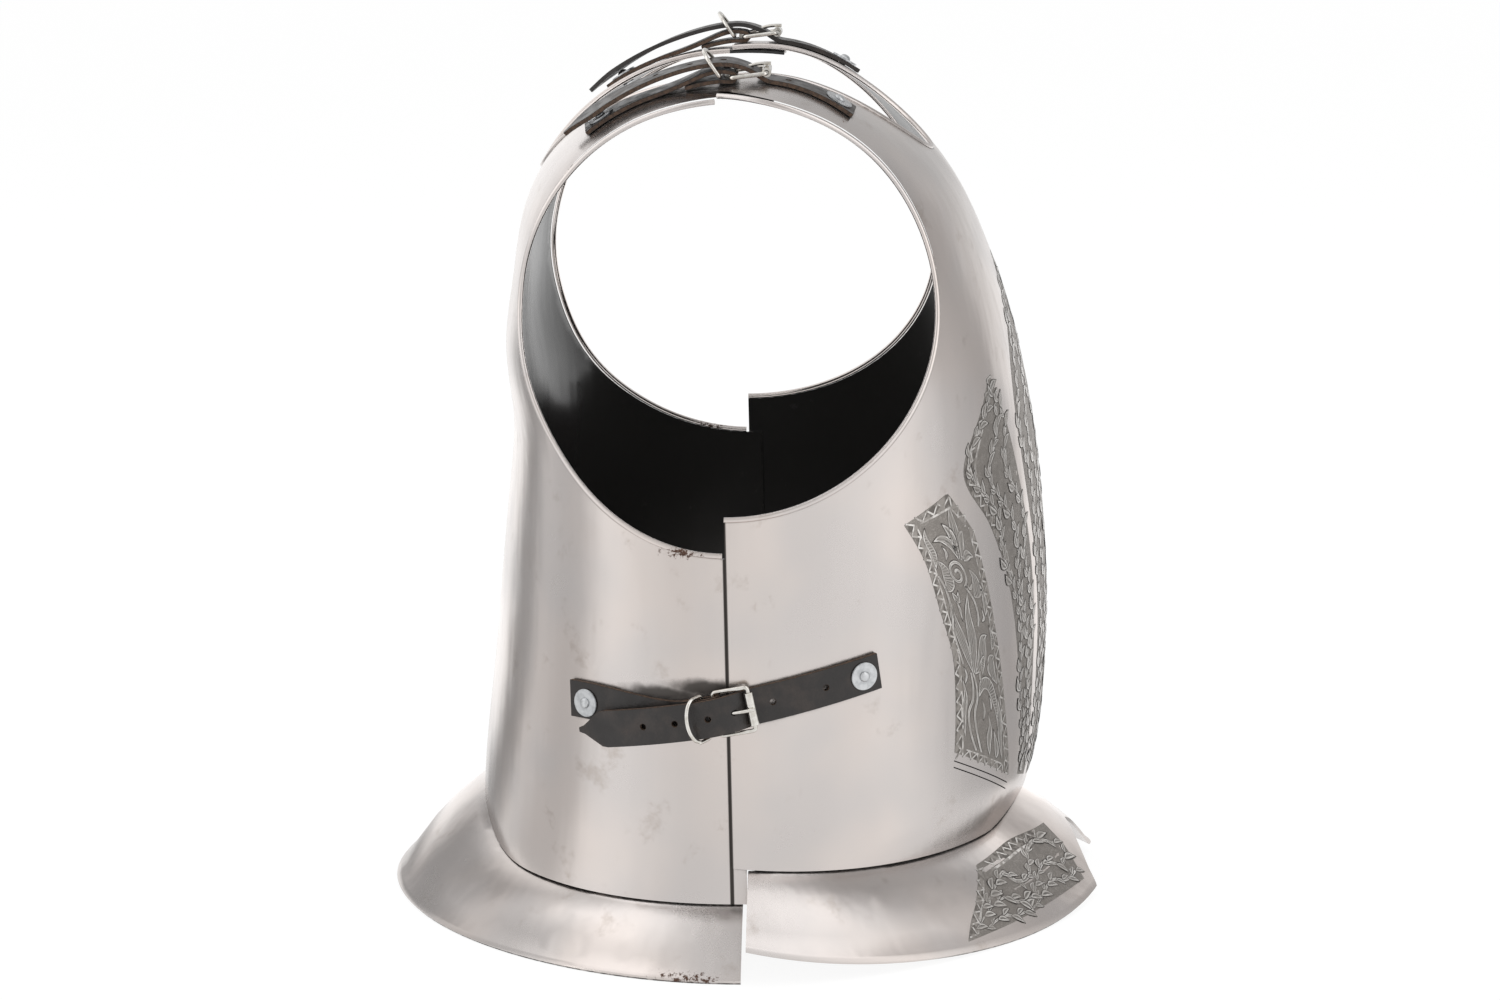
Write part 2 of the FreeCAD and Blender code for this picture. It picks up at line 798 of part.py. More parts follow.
def keeper_shape():
    """The keeper: a D of wire, its straight side at the origin and its bow above."""
    half = size("frame_inner_width") / 2 + size("keeper_wire_radius")
    leg = size("keeper_leg")
    corner = size("keeper_corner_radius")
    flat = half - corner
    bend = corner * math.sin(math.pi / 4)
    middle = Vector(0, 0, 0)
    bow = []
    for step in range(BOW_STEPS + 1):
        angle = math.pi * step / BOW_STEPS
        rise = size("keeper_crown") * math.sin(angle)
        bow.append(Vector(half * math.cos(angle), 0, leg + rise))
    curve = Part.BSplineCurve()
    curve.interpolate(bow, InitialTangent=Vector(0, 0, 1), FinalTangent=Vector(0, 0, -1))
    sides = []
    for way in (1, -1):
        foot_end = Vector(way * flat, 0, 0)
        turned = Vector(way * (flat + bend), 0, corner - bend)
        leg_start = Vector(way * half, 0, corner)
        points = [middle, foot_end, turned, leg_start, Vector(way * half, 0, leg)]
        if way < 0:
            points.reverse()
        runs = [Part.makeLine(points[0], points[1]), Part.makeLine(points[3], points[4])]
        sides.append([runs[0], Part.Arc(*points[1:4]).toShape(), runs[1]])
    edges = sides[0] + [curve.toShape()] + sides[1]
    return round_bar(edges, size("keeper_wire_radius"))


# Shares of the eye's radius, and of the frame's length and the prong's rise
PRONG_START_SHARES = (0.55, 0.85)
PRONG_RISE_SHARES = (0.39, 0.62)
PRONG_CREST_SHARES = (0.70, 0.93)


def prong_path():
    """The prong's centre line in the buckle's own plane, from its eye to past the roller."""
    rise = size("roller_height") - size("bar_height")
    rest = rise + size("roller_radius") + size("prong_radius") + size("prong_clearance")
    run = size("frame_length")
    eye = size("wire_radius") + size("running_clearance") + size("prong_radius")
    return [
        Vector(0, -eye * PRONG_START_SHARES[0], eye * PRONG_START_SHARES[1]),
        Vector(0, -run * PRONG_RISE_SHARES[0], rest * PRONG_RISE_SHARES[1]),
        Vector(0, -run * PRONG_CREST_SHARES[0], rest * PRONG_CREST_SHARES[1]),
        Vector(0, -run, rest),
        Vector(0, -run - size("prong_overhang"), rest - size("prong_clearance")),
    ]


def prong_shape(growth):
    """The prong: an eye round the bar and a stem, thicker by growth."""
    inner = size("wire_radius") + size("running_clearance") - growth
    outer = size("wire_radius") + size("running_clearance") + 2 * size("prong_radius") + growth
    width = size("prong_eye_width") + 2 * growth
    sideways = Vector(1, 0, 0)
    eye = Part.makeCylinder(outer, width, sideways * (-width / 2), sideways)
    stem = round_bar([spline_through(prong_path())], size("prong_radius") + growth)
    bore = Part.makeCylinder(inner, 2 * width, sideways * -width, sideways)
    return eye.fuse(stem).cut(bore)


# The plates, cut and rimmed

BACK_SKIRT_FULLNESS = (2.1, 1.87)
BREAST_SKIRT_FULLNESS = (1.95, 1.75)
WAIST_RIDGE = 0.12
CHAPE_RIVET_DRIFT_SHARE = 0.84

nest = size("plate_thickness") + size("seam_clearance")
rim_gap = size("rim_radius")
breast_arch = (size("breast_arch_rise"), size("breast_arch_half_width"))
back_arch = (size("back_arch_rise"), size("back_arch_half_width"))
breast_trims = trims_for(breast_waist, breast_arch, FRONT, 0.0, size("breast_tab_end"))
breast, breast_rims, breast_surface = plate(
    BREAST_STATION_SHARES,
    size("breast_depth"),
    FRONT,
    0.0,
    (size("arm_rise"), size("breast_arm_drop")),
    breast_trims,
    breast_trims,
)
back, back_rims, back_surface = plate(
    BACK_STATION_SHARES,
    size("back_depth"),
    REAR,
    nest,
    (size("arm_rise") - nest, size("back_arm_drop")),
    trims_for(back_waist, back_arch, REAR, size("seam_overlap"), -size("back_tab_end")),
    trims_for(back_waist, back_arch, REAR, -rim_gap, size("breast_tab_end") + rim_gap),
)
skirt_inset = size("plate_thickness") + size("collar_clearance")
back_skirt = skirt(
    REAR,
    size("half_width") - nest - skirt_inset,
    size("back_depth") - skirt_inset,
    (size("back_skirt_side_flare"), size("back_skirt_rear_flare")),
    BACK_SKIRT_FULLNESS,
    0.0,
    -size("back_skirt_end"),
    back_waist,
    back_arch,
    (0.0, 0.0, 0.0),
    -size("back_collar_lean"),
)
breast_skirt = skirt(
    FRONT,
    size("half_width") - skirt_inset - size("collar_clearance"),
    size("breast_fold_depth"),
    (size("breast_skirt_side_flare"), size("breast_skirt_front_flare")),
    BREAST_SKIRT_FULLNESS,
    WAIST_RIDGE,
    size("breast_skirt_end"),
    breast_waist,
    breast_arch,
    (
        size("breast_skirt_side_height"),
        size("breast_skirt_tip_lift"),
        size("breast_skirt_dip"),
    ),
    size("collar_lean"),
)
slope = (size("notch_corner_y") - size("notch_apex_y")) / size("notch_half_width")
wide = 2 * size("notch_half_width")
apex = Vector(0, -size("notch_apex_y"), 0)
notch_corners = [
    apex,
    apex + Vector(wide, -wide * slope, 0),
    apex + Vector(-wide, -wide * slope, 0),
    apex,
]
notch = Part.Face(Part.makePolygon(notch_corners)).extrude(Vector(0, 0, size("overrun")))
collar_end = size("seam_y") - size("breast_collar_end")
collar_foot = size("breast_waist_side") - size("bend_radius")
past_collar = prism_between(
    ((collar_end, collar_foot), (far, collar_foot), (far, far), (collar_end, far)), -reach, reach
)
breast_skirt = breast_skirt.cut(notch).cut(past_collar)

# The pieces as objects of the document


def feature(label, shape):
    """An object of the document that holds one finished shape."""
    made = document.addObject("Part::Feature", label)
    made.Shape = shape
    made.Label = label
    return made


def mirrored(label, source):
    """The same piece on the wearer's left."""
    made = document.addObject("Part::Mirroring", label)
    made.Source = source
    made.Normal = Vector(1, 0, 0)
    made.Label = label
    return made


def tube_body(label, outer, bore, length, place):
    """A body padded from a ring: a roller or a washer."""
    body = document.addObject("PartDesign::Body", label)
    body.Label = label
    sketch = body.newObject("Sketcher::SketchObject", label + "_ring")
    plane = next(item for item in body.Origin.OriginFeatures if item.Role == "XY_Plane")
    sketch.AttachmentSupport = [(plane, "")]
    sketch.MapMode = "FlatFace"
    for alias, expression in (("outer", outer), ("bore", bore)):
        start = size("wire_radius")
        circle = Part.Circle(Vector(0, 0, 0), Vector(0, 0, 1), start)
        number = sketch.addGeometry(circle, False)
        sketch.addConstraint(Sketcher.Constraint("Coincident", number, 3, -1, 1))
        radius = sketch.addConstraint(Sketcher.Constraint("Radius", number, start))
        sketch.renameConstraint(radius, alias)
        sketch.setExpression("Constraints." + alias, expression)
    pad = body.newObject("PartDesign::Pad", label + "_pad")
    pad.Profile = sketch
    pad.setExpression("Length", length)
    pad.Midplane = True
    body.Tip = pad
    body.Placement = place
    sketch.Visibility = False
    return body


def rivet(label, place):
    """A rivet: shank, head inside the plate and domed head over the washer."""
    shank = document.addObject("Part::Cylinder", label + "_shank")
    shank.setExpression("Radius", "Sizes.rivet_shank_radius")
    stack = "Sizes.strap_thickness + Sizes.strap_clearance + Sizes.washer_thickness"
    gaps = "2 * Sizes.rivet_clearance"
    shank.setExpression("Height", "Sizes.plate_thickness + %s + %s" % (stack, gaps))
    shank.setExpression("Placement.Base.z", "-Sizes.plate_thickness - Sizes.rivet_clearance")
    inner = document.addObject("Part::Cylinder", label + "_inner_head")
    inner.setExpression("Radius", "Sizes.inner_head_radius")
    inner.setExpression("Height", "Sizes.inner_head_height")
    inner.setExpression(
        "Placement.Base.z",
        "-Sizes.plate_thickness - Sizes.rivet_clearance - Sizes.inner_head_height",
    )
    dome = document.addObject("Part::Ellipsoid", label + "_dome")
    dome.setExpression("Radius1", "Sizes.rivet_head_height")
    dome.setExpression("Radius2", "Sizes.rivet_head_radius")
    dome.setExpression("Radius3", "Sizes.rivet_head_radius")
    dome.Angle1 = 0
    dome.Angle2 = 90
    dome.setExpression("Placement.Base.z", "%s + Sizes.rivet_clearance" % stack)
    whole = document.addObject("Part::MultiFuse", label)
    whole.Shapes = [shank, inner, dome]
    whole.Label = label
    whole.Placement = place
    return whole


def hinge_line(name, place):
    """Print where a hinge stands, for the record."""
    origin = place.Base
    axis = place.Rotation.multVec(Vector(1, 0, 0))
    print("joint", name, [round(v, 4) for v in origin], [round(v, 6) for v in axis])


def strap_set(kind, rivet_run, tail_run):
    """One strap with its buckle on the wearer's right, as a list of (name, object)."""
    chape_end = size("chape_rivet_run") + size("strap_end_margin")
    drift = size("side_chape_drift") if kind == SIDE else 0.0
    bar = frame_at(kind, size("bar_run"), size("bar_height"))
    made = []
    path = chape_path(kind, chape_end)
    chape = ribbon(kind, path, [size("strap_width")] * len(path))
    chape_rivet = (size("chape_rivet_run"), drift * CHAPE_RIVET_DRIFT_SHARE)
    hole = size("rivet_shank_radius") + size("rivet_clearance")
    chape = chape.cut(drill(kind, *chape_rivet, hole))
    slot = size("prong_slot_width")
    room = size("wire_radius") + size("fold_clearance") + 2 * size("strap_thickness")
    window = Part.makeBox(
        slot, 2 * room - size("strap_thickness"), 2 * room, Vector(-slot / 2, -room, -room)
    )
    window.Placement = bar
    chape = chape.cut(window)
    made.append(("chape", feature("%s_chape_right" % kind, chape)))
    path = billet_path(kind, rivet_run, tail_run)
    billet = ribbon(kind, path, billet_widths(path, tail_run))
    billet = billet.cut(drill(kind, -rivet_run, 0.0, hole))
    free_holes = [size("strap_hole_run")]
    if kind == SIDE:
        free_holes.append(size("far_strap_hole_run"))
    for run in free_holes:
        billet = billet.cut(drill(kind, -run, 0.0, size("strap_hole_radius")))
    for number in range(TAIL_HOLES):
        pitches = HOLES_UNDER_BUCKLE + number
        run = pitches * size("strap_hole_pitch") - size("strap_hole_run")
        tail_hole = Part.makeCylinder(size("strap_hole_radius"), size("tail_drill_reach"))
        tail_hole.Placement = frame_at(kind, run, 0.0)
        billet = billet.cut(tail_hole)
    fat_prong = prong_shape(size("slot_clearance"))
    fat_prong.Placement = bar
    billet = billet.cut(fat_prong)
    made.append(("billet", feature("%s_billet_right" % kind, billet)))
    frame = frame_shape()
    frame.Placement = bar
    made.append(("frame", feature("%s_buckle_frame_right" % kind, frame)))
    prong = prong_shape(0.0)
    prong.Placement = bar
    made.append(("prong", feature("%s_buckle_prong_right" % kind, prong)))
    hinge_line("%s bar" % kind, bar)
    rise = size("roller_height") - size("bar_height")
    axle = bar.multiply(Placement(Vector(0, -size("frame_length"), rise), Rotation()))
    hinge_line("%s roller" % kind, axle)
    lying = axle.multiply(Placement(Vector(0, 0, 0), Rotation(Vector(0, 1, 0), 90)))
    roller = tube_body(
        "%s_buckle_roller_right" % kind,
        "Sizes.roller_radius",
        "Sizes.wire_radius + Sizes.running_clearance",
        "Sizes.roller_length",
        lying,
    )
    made.append(("roller", roller))
    keeper = keeper_shape()
    stand = frame_at(kind, size("keeper_run"), size("keeper_height"))
    hinge_line("%s keeper" % kind, stand)
    lean = Placement(Vector(0, 0, 0), Rotation(Vector(1, 0, 0), -KEEPER_LEAN))
    keeper.Placement = stand.multiply(lean)
    made.append(("keeper", feature("%s_keeper_right" % kind, keeper)))
    spots = (
        ("billet", frame_at(kind, -rivet_run, 0.0)),
        ("chape", frame_at(kind, chape_rivet[0], -nest, chape_rivet[1])),
    )
    washer_lift = size("strap_clearance") + size("strap_thickness") + size("rivet_clearance") / 2
    for end, place in spots:
        made.append(("%s rivet" % end, rivet("%s_%s_rivet_right" % (kind, end), place)))
        lift = Placement(Vector(0, 0, washer_lift + size("washer_thickness") / 2), Rotation())
        washer = tube_body(
            "%s_%s_washer_right" % (kind, end),
            "Sizes.washer_radius",
            "Sizes.rivet_shank_radius + Sizes.rivet_clearance",
            "Sizes.washer_thickness",
            place.multiply(lift),
        )
        made.append(("%s washer" % end, washer))
    return made, chape_rivet


pieces = []
side_set, side_chape = strap_set(SIDE, size("side_billet_rivet_run"), size("side_tail_run"))
shoulder_set, shoulder_chape = strap_set(
    SHOULDER, size("shoulder_billet_rivet_run"), size("shoulder_tail_run")
)
straps = [item for _, item in side_set + shoulder_set]

hole = size("rivet_shank_radius") + size("rivet_clearance")
mirror_plane = (Vector(0, 0, 0), Vector(1, 0, 0))
for kind, run in ((SIDE, "side_billet_rivet_run"), (SHOULDER, "shoulder_billet_rivet_run")):
    cutter = drill(kind, -size(run), 0.0, hole)
    breast = breast.cut(cutter).cut(cutter.mirror(*mirror_plane))
for kind, place in ((SIDE, side_chape), (SHOULDER, shoulder_chape)):
    cutter = drill(kind, *place, hole)
    back = back.cut(cutter).cut(cutter.mirror(*mirror_plane))

pieces.append(feature("breast_shell", breast))
pieces.append(feature("back_shell", back))
pieces.append(feature("breast_skirt", breast_skirt))
pieces.append(feature("back_skirt", back_skirt))
for plate_name, rims in (("breast", breast_rims), ("back", back_rims)):
    for rim_name, rim in rims.items():
        pieces.append(feature("%s_%s" % (plate_name, rim_name), rim))
document.recompute()
for item in straps:
    pieces.append(item)
    pieces.append(mirrored(item.Label.replace("_right", "_left"), item))
document.recompute()

os.makedirs("parts", exist_ok=True)
for item in pieces:
    states = [state for state in item.State if state in ("Invalid", "Error")]
    shape = item.Shape
    if states or not shape.isValid() or not shape.Solids:
        print("PROBLEM", item.Label, states, shape.isValid(), len(shape.Solids))
    print(item.Label, len(shape.Solids), "solids", round(shape.Volume, 1), "mm3")
    shape.exportStep("parts/%s.step" % item.Label)
print(len(pieces), "pieces written")
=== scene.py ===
# %% [markdown]
# # A cuirass of polished plate
# The object is body armour of bright steel: a breastplate and a backplate with flared skirts,
# joined by leather straps with wire buckles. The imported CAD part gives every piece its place
# and size, so this file only dresses it: smooth metal skins, leather, plating and etched ornament.

import json
import math
import random

import bmesh
import bpy
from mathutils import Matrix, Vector, interpolate
from mathutils.bvhtree import BVHTree


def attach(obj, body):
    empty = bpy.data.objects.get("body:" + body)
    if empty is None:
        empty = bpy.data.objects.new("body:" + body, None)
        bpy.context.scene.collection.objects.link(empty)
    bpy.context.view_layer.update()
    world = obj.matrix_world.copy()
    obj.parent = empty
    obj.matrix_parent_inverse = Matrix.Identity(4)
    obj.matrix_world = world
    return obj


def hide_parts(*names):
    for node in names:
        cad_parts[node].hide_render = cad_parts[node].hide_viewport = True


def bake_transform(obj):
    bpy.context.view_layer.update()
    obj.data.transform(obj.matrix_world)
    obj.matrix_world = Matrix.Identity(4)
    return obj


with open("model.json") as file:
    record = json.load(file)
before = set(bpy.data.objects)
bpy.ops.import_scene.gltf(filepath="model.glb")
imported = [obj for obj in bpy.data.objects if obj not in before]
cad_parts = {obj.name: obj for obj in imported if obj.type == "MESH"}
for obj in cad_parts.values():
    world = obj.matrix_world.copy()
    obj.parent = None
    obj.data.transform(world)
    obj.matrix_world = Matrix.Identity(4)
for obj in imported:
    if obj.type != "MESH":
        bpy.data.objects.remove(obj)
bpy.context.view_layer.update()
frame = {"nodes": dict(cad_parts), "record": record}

MM = 0.001

# %% [markdown]
# ## The camera
# The photograph was taken from the wearer's right, a little above the waist, with a long lens.
# Its place was worked out from the seam, the skirt edges and the two shoulder buckles, which
# show how strongly the view narrows with distance.

# %% Set the camera
PHOTO_WIDTH_PX = 1500
SENSOR_WIDTH = 36.0
FOCAL_PX = 4386
CAMERA_DISTANCE = 2.3
CAMERA_HEIGHT = 0.704
CAMERA_YAW = math.radians(2.1)
CAMERA_PITCH = math.radians(12.2)


def linked(name, data):
    """A new object in the scene."""
    thing = bpy.data.objects.new(name, data)
    bpy.context.scene.collection.objects.link(thing)
    return thing


def aim(thing, way):
    """Turn a camera or a lamp to look along a vector."""
    thing.rotation_mode = "QUATERNION"
    thing.rotation_quaternion = way.to_track_quat("-Z", "Y")


camera_data = bpy.data.cameras.new("camera")
camera_data.sensor_fit = "HORIZONTAL"
camera_data.sensor_width = SENSOR_WIDTH
camera_data.lens = FOCAL_PX / PHOTO_WIDTH_PX * SENSOR_WIDTH
camera = linked("camera", camera_data)
level = Vector((math.cos(CAMERA_YAW), math.sin(CAMERA_YAW), 0))
camera.location = Vector((0, 0, CAMERA_HEIGHT)) - level * CAMERA_DISTANCE
aim(camera, level * math.cos(CAMERA_PITCH) - Vector((0, 0, math.sin(CAMERA_PITCH))))
bpy.context.scene.camera = camera
bpy.context.scene.view_settings.view_transform = "Standard"
print("lens", round(camera_data.lens, 1), "mm")

# %% [markdown]
# ## Nodes made short
# A material is a small graph. These helpers add a node, set its sockets by name and link
# another node's output, so that each finish below reads as a list of what it is made of.


# %% Helpers for materials
def connect(tree, socket, value):
    """Set an input to a value, or link it to another node's output."""
    if isinstance(value, bpy.types.NodeSocket):
        tree.links.new(value, socket)
    else:
        socket.default_value = value


def feed(tree, node, **inputs):
    """Set a node's inputs by name."""
    for name, value in inputs.items():
        connect(tree, node.inputs[name.replace("_", " ")], value)


def add(tree, kind, settings=None, **inputs):
    """A new node with its settings and its inputs."""
    node = tree.nodes.new(kind)
    for name, value in (settings or {}).items():
        setattr(node, name, value)
    feed(tree, node, **inputs)
    return node


def finish_material(name):
    """A new material: itself, its tree, its surface shader and the place on the object."""
    material = bpy.data.materials.new(name)
    material.use_nodes = True
    tree = material.node_tree
    shader = tree.nodes["Principled BSDF"]
    place = tree.nodes.new("ShaderNodeTexCoord").outputs["Object"]
    return material, tree, shader, place


def noise(tree, place, scale, detail=3.0, roughness=0.5):
    """Soft noise; the scale is in waves per metre."""
    node = add(
        tree, "ShaderNodeTexNoise", Vector=place, Scale=scale, Detail=detail, Roughness=roughness
    )
    return node.outputs["Factor"] if "Factor" in node.outputs else node.outputs["Fac"]


def between(tree, value, low, high, out_low=0.0, out_high=1.0):
    """A value mapped softly from one range to another, held at the ends."""
    node = add(
        tree, "ShaderNodeMapRange", {"interpolation_type": "SMOOTHSTEP"}, Value=value,
        From_Min=low, From_Max=high, To_Min=out_low, To_Max=out_high,
    )
    return node.outputs["Result"]


def feed_in_order(tree, node, values):
    """Set a node's first inputs in order; None leaves an input alone."""
    for socket, value in zip(node.inputs, values):
        if value is not None:
            connect(tree, socket, value)


def maths(tree, operation, first, second=0.0):
    """One sum of two values."""
    node = add(tree, "ShaderNodeMath", {"operation": operation})
    feed_in_order(tree, node, (first, second))
    return node.outputs[0]


def vector_maths(tree, operation, first, second=None):
    """One sum of two vectors, or of one."""
    node = add(tree, "ShaderNodeVectorMath", {"operation": operation})
    feed_in_order(tree, node, (first, second))
    return node.outputs["Value" if operation in ("LENGTH", "DOT_PRODUCT") else "Vector"]


def mix_colour(tree, factor, first, second):
    """Two colours mixed by a factor."""
    node = add(tree, "ShaderNodeMix", {"data_type": "RGBA"})
    for name, value in (("Factor", factor), ("A", first), ("B", second)):
        socket = next(s for s in node.inputs if s.name == name and s.enabled)
        connect(tree, socket, (*value, 1.0) if isinstance(value, tuple) else value)
    return next(s for s in node.outputs if s.enabled)


def bump(tree, height, distance, strength=1.0, after=None):
    """Relief from a height, in metres."""
    node = add(tree, "ShaderNodeBump", Height=height, Distance=distance, Strength=strength)
    if after is not None:
        feed(tree, node, Normal=after)
    return node.outputs["Normal"]


print("helpers for node materials are ready")


# %% [markdown]
# ## The light and the white ground
# The photograph has a pure white ground and very soft light from two tall windows of light,
# one on each side of the camera, and one overhead. A white world lights the object from
# everywhere, and the camera and the reflections see it as plain white. The floor glows for
# the camera, so that only a soft contact shadow is left of it.

# %% Light the scene
WHITE = (1.0, 1.0, 1.0, 1.0)
WORLD_LIGHT = 0.62
AIM = Vector((0.0, 0.0, 0.25))


def around(azimuth, distance, height):
    """A point round the object; azimuth is in degrees from the wearer's right to the front."""
    turn = math.radians(azimuth)
    return Vector((-distance * math.cos(turn), -distance * math.sin(turn), height))


def seen_and_lit(tree, lit, seen, share=1.0):
    """A shader that lights things, with a share of another one where it is looked at."""
    path = tree.nodes.new("ShaderNodeLightPath")
    look = maths(tree, "MAXIMUM", path.outputs["Is Camera Ray"], path.outputs["Is Glossy Ray"])
    look = maths(tree, "MAXIMUM", look, path.outputs["Is Transmission Ray"])
    both = tree.nodes.new("ShaderNodeMixShader")
    feed_in_order(tree, both, (maths(tree, "MULTIPLY", look, share), lit, seen))
    return both.outputs[0]


world = bpy.data.worlds.new("white_room")
bpy.context.scene.world = world
world.use_nodes = True
tree = world.node_tree
tree.nodes.clear()
soft = add(tree, "ShaderNodeBackground", Color=WHITE, Strength=WORLD_LIGHT)
plain = add(tree, "ShaderNodeBackground", Color=WHITE, Strength=1.0)
surface = seen_and_lit(tree, soft.outputs[0], plain.outputs[0])
add(tree, "ShaderNodeOutputWorld", Surface=surface)

LAMPS = (
    # name, azimuth, distance, height, width, tall, brightness
    ("front_window", 64, 2.4, 0.9, 0.8, 2.0, 1.45),
    ("rear_window", -58, 2.4, 0.9, 0.7, 2.0, 1.40),
    ("far_front_window", 116, 2.4, 0.9, 0.8, 2.0, 1.25),
    ("far_rear_window", -122, 2.4, 0.9, 0.7, 2.0, 1.25),
    ("top_window", 0, 0.7, 2.3, 1.3, 1.3, 1.7),
)
for name, azimuth, distance, height, wide, tall, bright in LAMPS:
    lamp_data = bpy.data.lights.new(name, "AREA")
    lamp_data.shape = "RECTANGLE"
    lamp_data.size = wide
    lamp_data.size_y = tall
    lamp_data.energy = bright * math.pi * wide * tall
    lamp = linked(name, lamp_data)
    lamp.location = around(azimuth, distance, height)
    aim(lamp, AIM - lamp.location)
print("lamps", len(LAMPS))


# %% Floor
FLOOR_REACH = 6.0
FLOOR_GLOW = 1.07
FLOOR_GLOW_SHARE = 0.84
FLOOR_ROUGH = 0.9
FLOOR_CLOUDS = 3.0
FLOOR_TONES = ((0.90, 0.90, 0.90), (0.92, 0.92, 0.92))

mesh = bpy.data.meshes.new("floor")
corners = ((-1, -1), (1, -1), (1, 1), (-1, 1))
mesh.from_pydata([(x * FLOOR_REACH, y * FLOOR_REACH, 0) for x, y in corners], [], [(0, 1, 2, 3)])
sheet = linked("floor", mesh)
material, tree, shader, place = finish_material("white_floor")
cloud = noise(tree, place, FLOOR_CLOUDS)
feed(tree, shader, Base_Color=mix_colour(tree, cloud, *FLOOR_TONES), Roughness=FLOOR_ROUGH)
glow = add(tree, "ShaderNodeEmission", Color=WHITE, Strength=FLOOR_GLOW)
surface = seen_and_lit(tree, shader.outputs[0], glow.outputs[0], FLOOR_GLOW_SHARE)
feed(tree, tree.nodes["Material Output"], Surface=surface)
mesh.materials.append(material)
print("floor", 2 * FLOOR_REACH, "m wide")

# %% [markdown]
# ## What the metal reflects
# Polished steel shows its surroundings more than its own colour. In the photograph the plates
# reflect the white table, two bright windows and the dimmer corners of the room, as soft
# upright bands. A dome that only reflections see stands round the object and carries those
# tones: one for the walls and one for the ceiling at a few azimuths, blended between them. Its
# foot draws in to a bowl close round the skirts, so that no reflection slips out under it.

# %% Reflection dome
DOME_RADIUS = 0.42
DOME_HEIGHT = 0.75
DOME_MIDDLE = 0.15
DOME_FOOT = 0.045
DOME_COLUMNS = 120
DOME_ROWS = 30
BOWL_RADIUS = 0.235
BOWL_FOOT = 0.003
DOME_ROUNDNESS = 0.5
DOME_CLOUDS = 5.0
CLOUD_TONES = (0.95, 1.05)
NOISE_SPAN = (0.3, 0.7)
WALL_TOP = 12
CEILING_START = 34
DOME_TONES = (
    # azimuth from the wearer's right towards the front, wall tone, ceiling tone
    (-180, 1.4, 0.7), (-133, 1.25, 1.35), (-114, 0.33, 1.1), (-105, 0.45, 0.7),
    (-97, 0.82, 0.85), (-75, 0.65, 1.6), (-66, 0.65, 1.5), (-50, 1.15, 1.5),
    (-15, 0.9, 0.8), (10, 1.0, 0.6), (42, 1.05, 1.6), (57, 1.1, 1.5),
    (72, 0.98, 0.42), (83, 0.72, 0.42), (110, 0.47, 0.5), (128, 1.15, 0.6),
    (145, 1.4, 0.6), (180, 1.4, 0.7),
)


def dome_tone(azimuth, elevation):
    """The tone of the dome at an azimuth and an elevation in degrees."""
    for first, second in zip(DOME_TONES, DOME_TONES[1:]):
        if azimuth <= second[0]:
            break
    part = (azimuth - first[0]) / (second[0] - first[0])
    part = part * part * (3 - 2 * part)
    wall, ceiling = (a + (b - a) * part for a, b in zip(first[1:], second[1:]))
    rise = min(max((elevation - WALL_TOP) / (CEILING_START - WALL_TOP), 0.0), 1.0)
    return wall + (ceiling - wall) * rise


def keep_numbers(mesh, numbers):
    """Keep named rows of numbers on a mesh's points, for its shader."""
    for name, values in numbers.items():
        mesh.attributes.new(name, "FLOAT", "POINT").data.foreach_set("value", values)


def attribute(tree, name):
    """A number kept on the mesh."""
    return add(tree, "ShaderNodeAttribute", {"attribute_name": name}).outputs["Fac"]


points, tones, faces = [], [], []
for row in range(DOME_ROWS + 1):
    rise = math.pi / 2 * (row - 1) / (DOME_ROWS - 1)
    out = DOME_RADIUS * math.cos(rise) ** DOME_ROUNDNESS if row else BOWL_RADIUS
    level = DOME_FOOT + DOME_HEIGHT * math.sin(rise) if row else BOWL_FOOT
    for column in range(DOME_COLUMNS + 1):
        azimuth = 360 * column / DOME_COLUMNS - 180
        points.append(around(azimuth, out, level))
        elevation = math.degrees(math.atan2(level - DOME_MIDDLE, max(out, MM)))
        tones.append(dome_tone(azimuth, elevation))
for row in range(DOME_ROWS):
    for column in range(DOME_COLUMNS):
        start = row * (DOME_COLUMNS + 1) + column
        faces.append((start, start + 1, start + DOME_COLUMNS + 2, start + DOME_COLUMNS + 1))
mesh = bpy.data.meshes.new("reflection_dome")
mesh.from_pydata(points, [], faces)
keep_numbers(mesh, {"tone": tones})
dome = linked("reflection_dome", mesh)
material, tree, shader, place = finish_material("dome_paper")
cloud = between(tree, noise(tree, place, DOME_CLOUDS), *NOISE_SPAN, *CLOUD_TONES)
strength = maths(tree, "MULTIPLY", attribute(tree, "tone"), cloud)
glow = add(tree, "ShaderNodeEmission", Color=WHITE, Strength=strength)
feed(tree, tree.nodes["Material Output"], Surface=glow.outputs[0])
mesh.materials.append(material)
for ray in ("camera", "diffuse", "shadow", "transmission"):
    setattr(dome, "visible_" + ray, False)
print("dome", len(mesh.polygons), "faces")

# %% [markdown]
# ## Smooth skins
# The CAD mesh of a curved plate is made of loose triangles. A copy with its doubles merged and
# its faces shaded smooth reflects as one sheet, and takes the CAD node's place in the picture.


# %% Helpers for pieces
def merged_copy(node):
    """A new mesh with a CAD node's shape and its doubles merged."""
    work = bmesh.new()
    work.from_mesh(frame["nodes"][node].data)
    bmesh.ops.remove_doubles(work, verts=work.verts, dist=MM / 200)
    return work


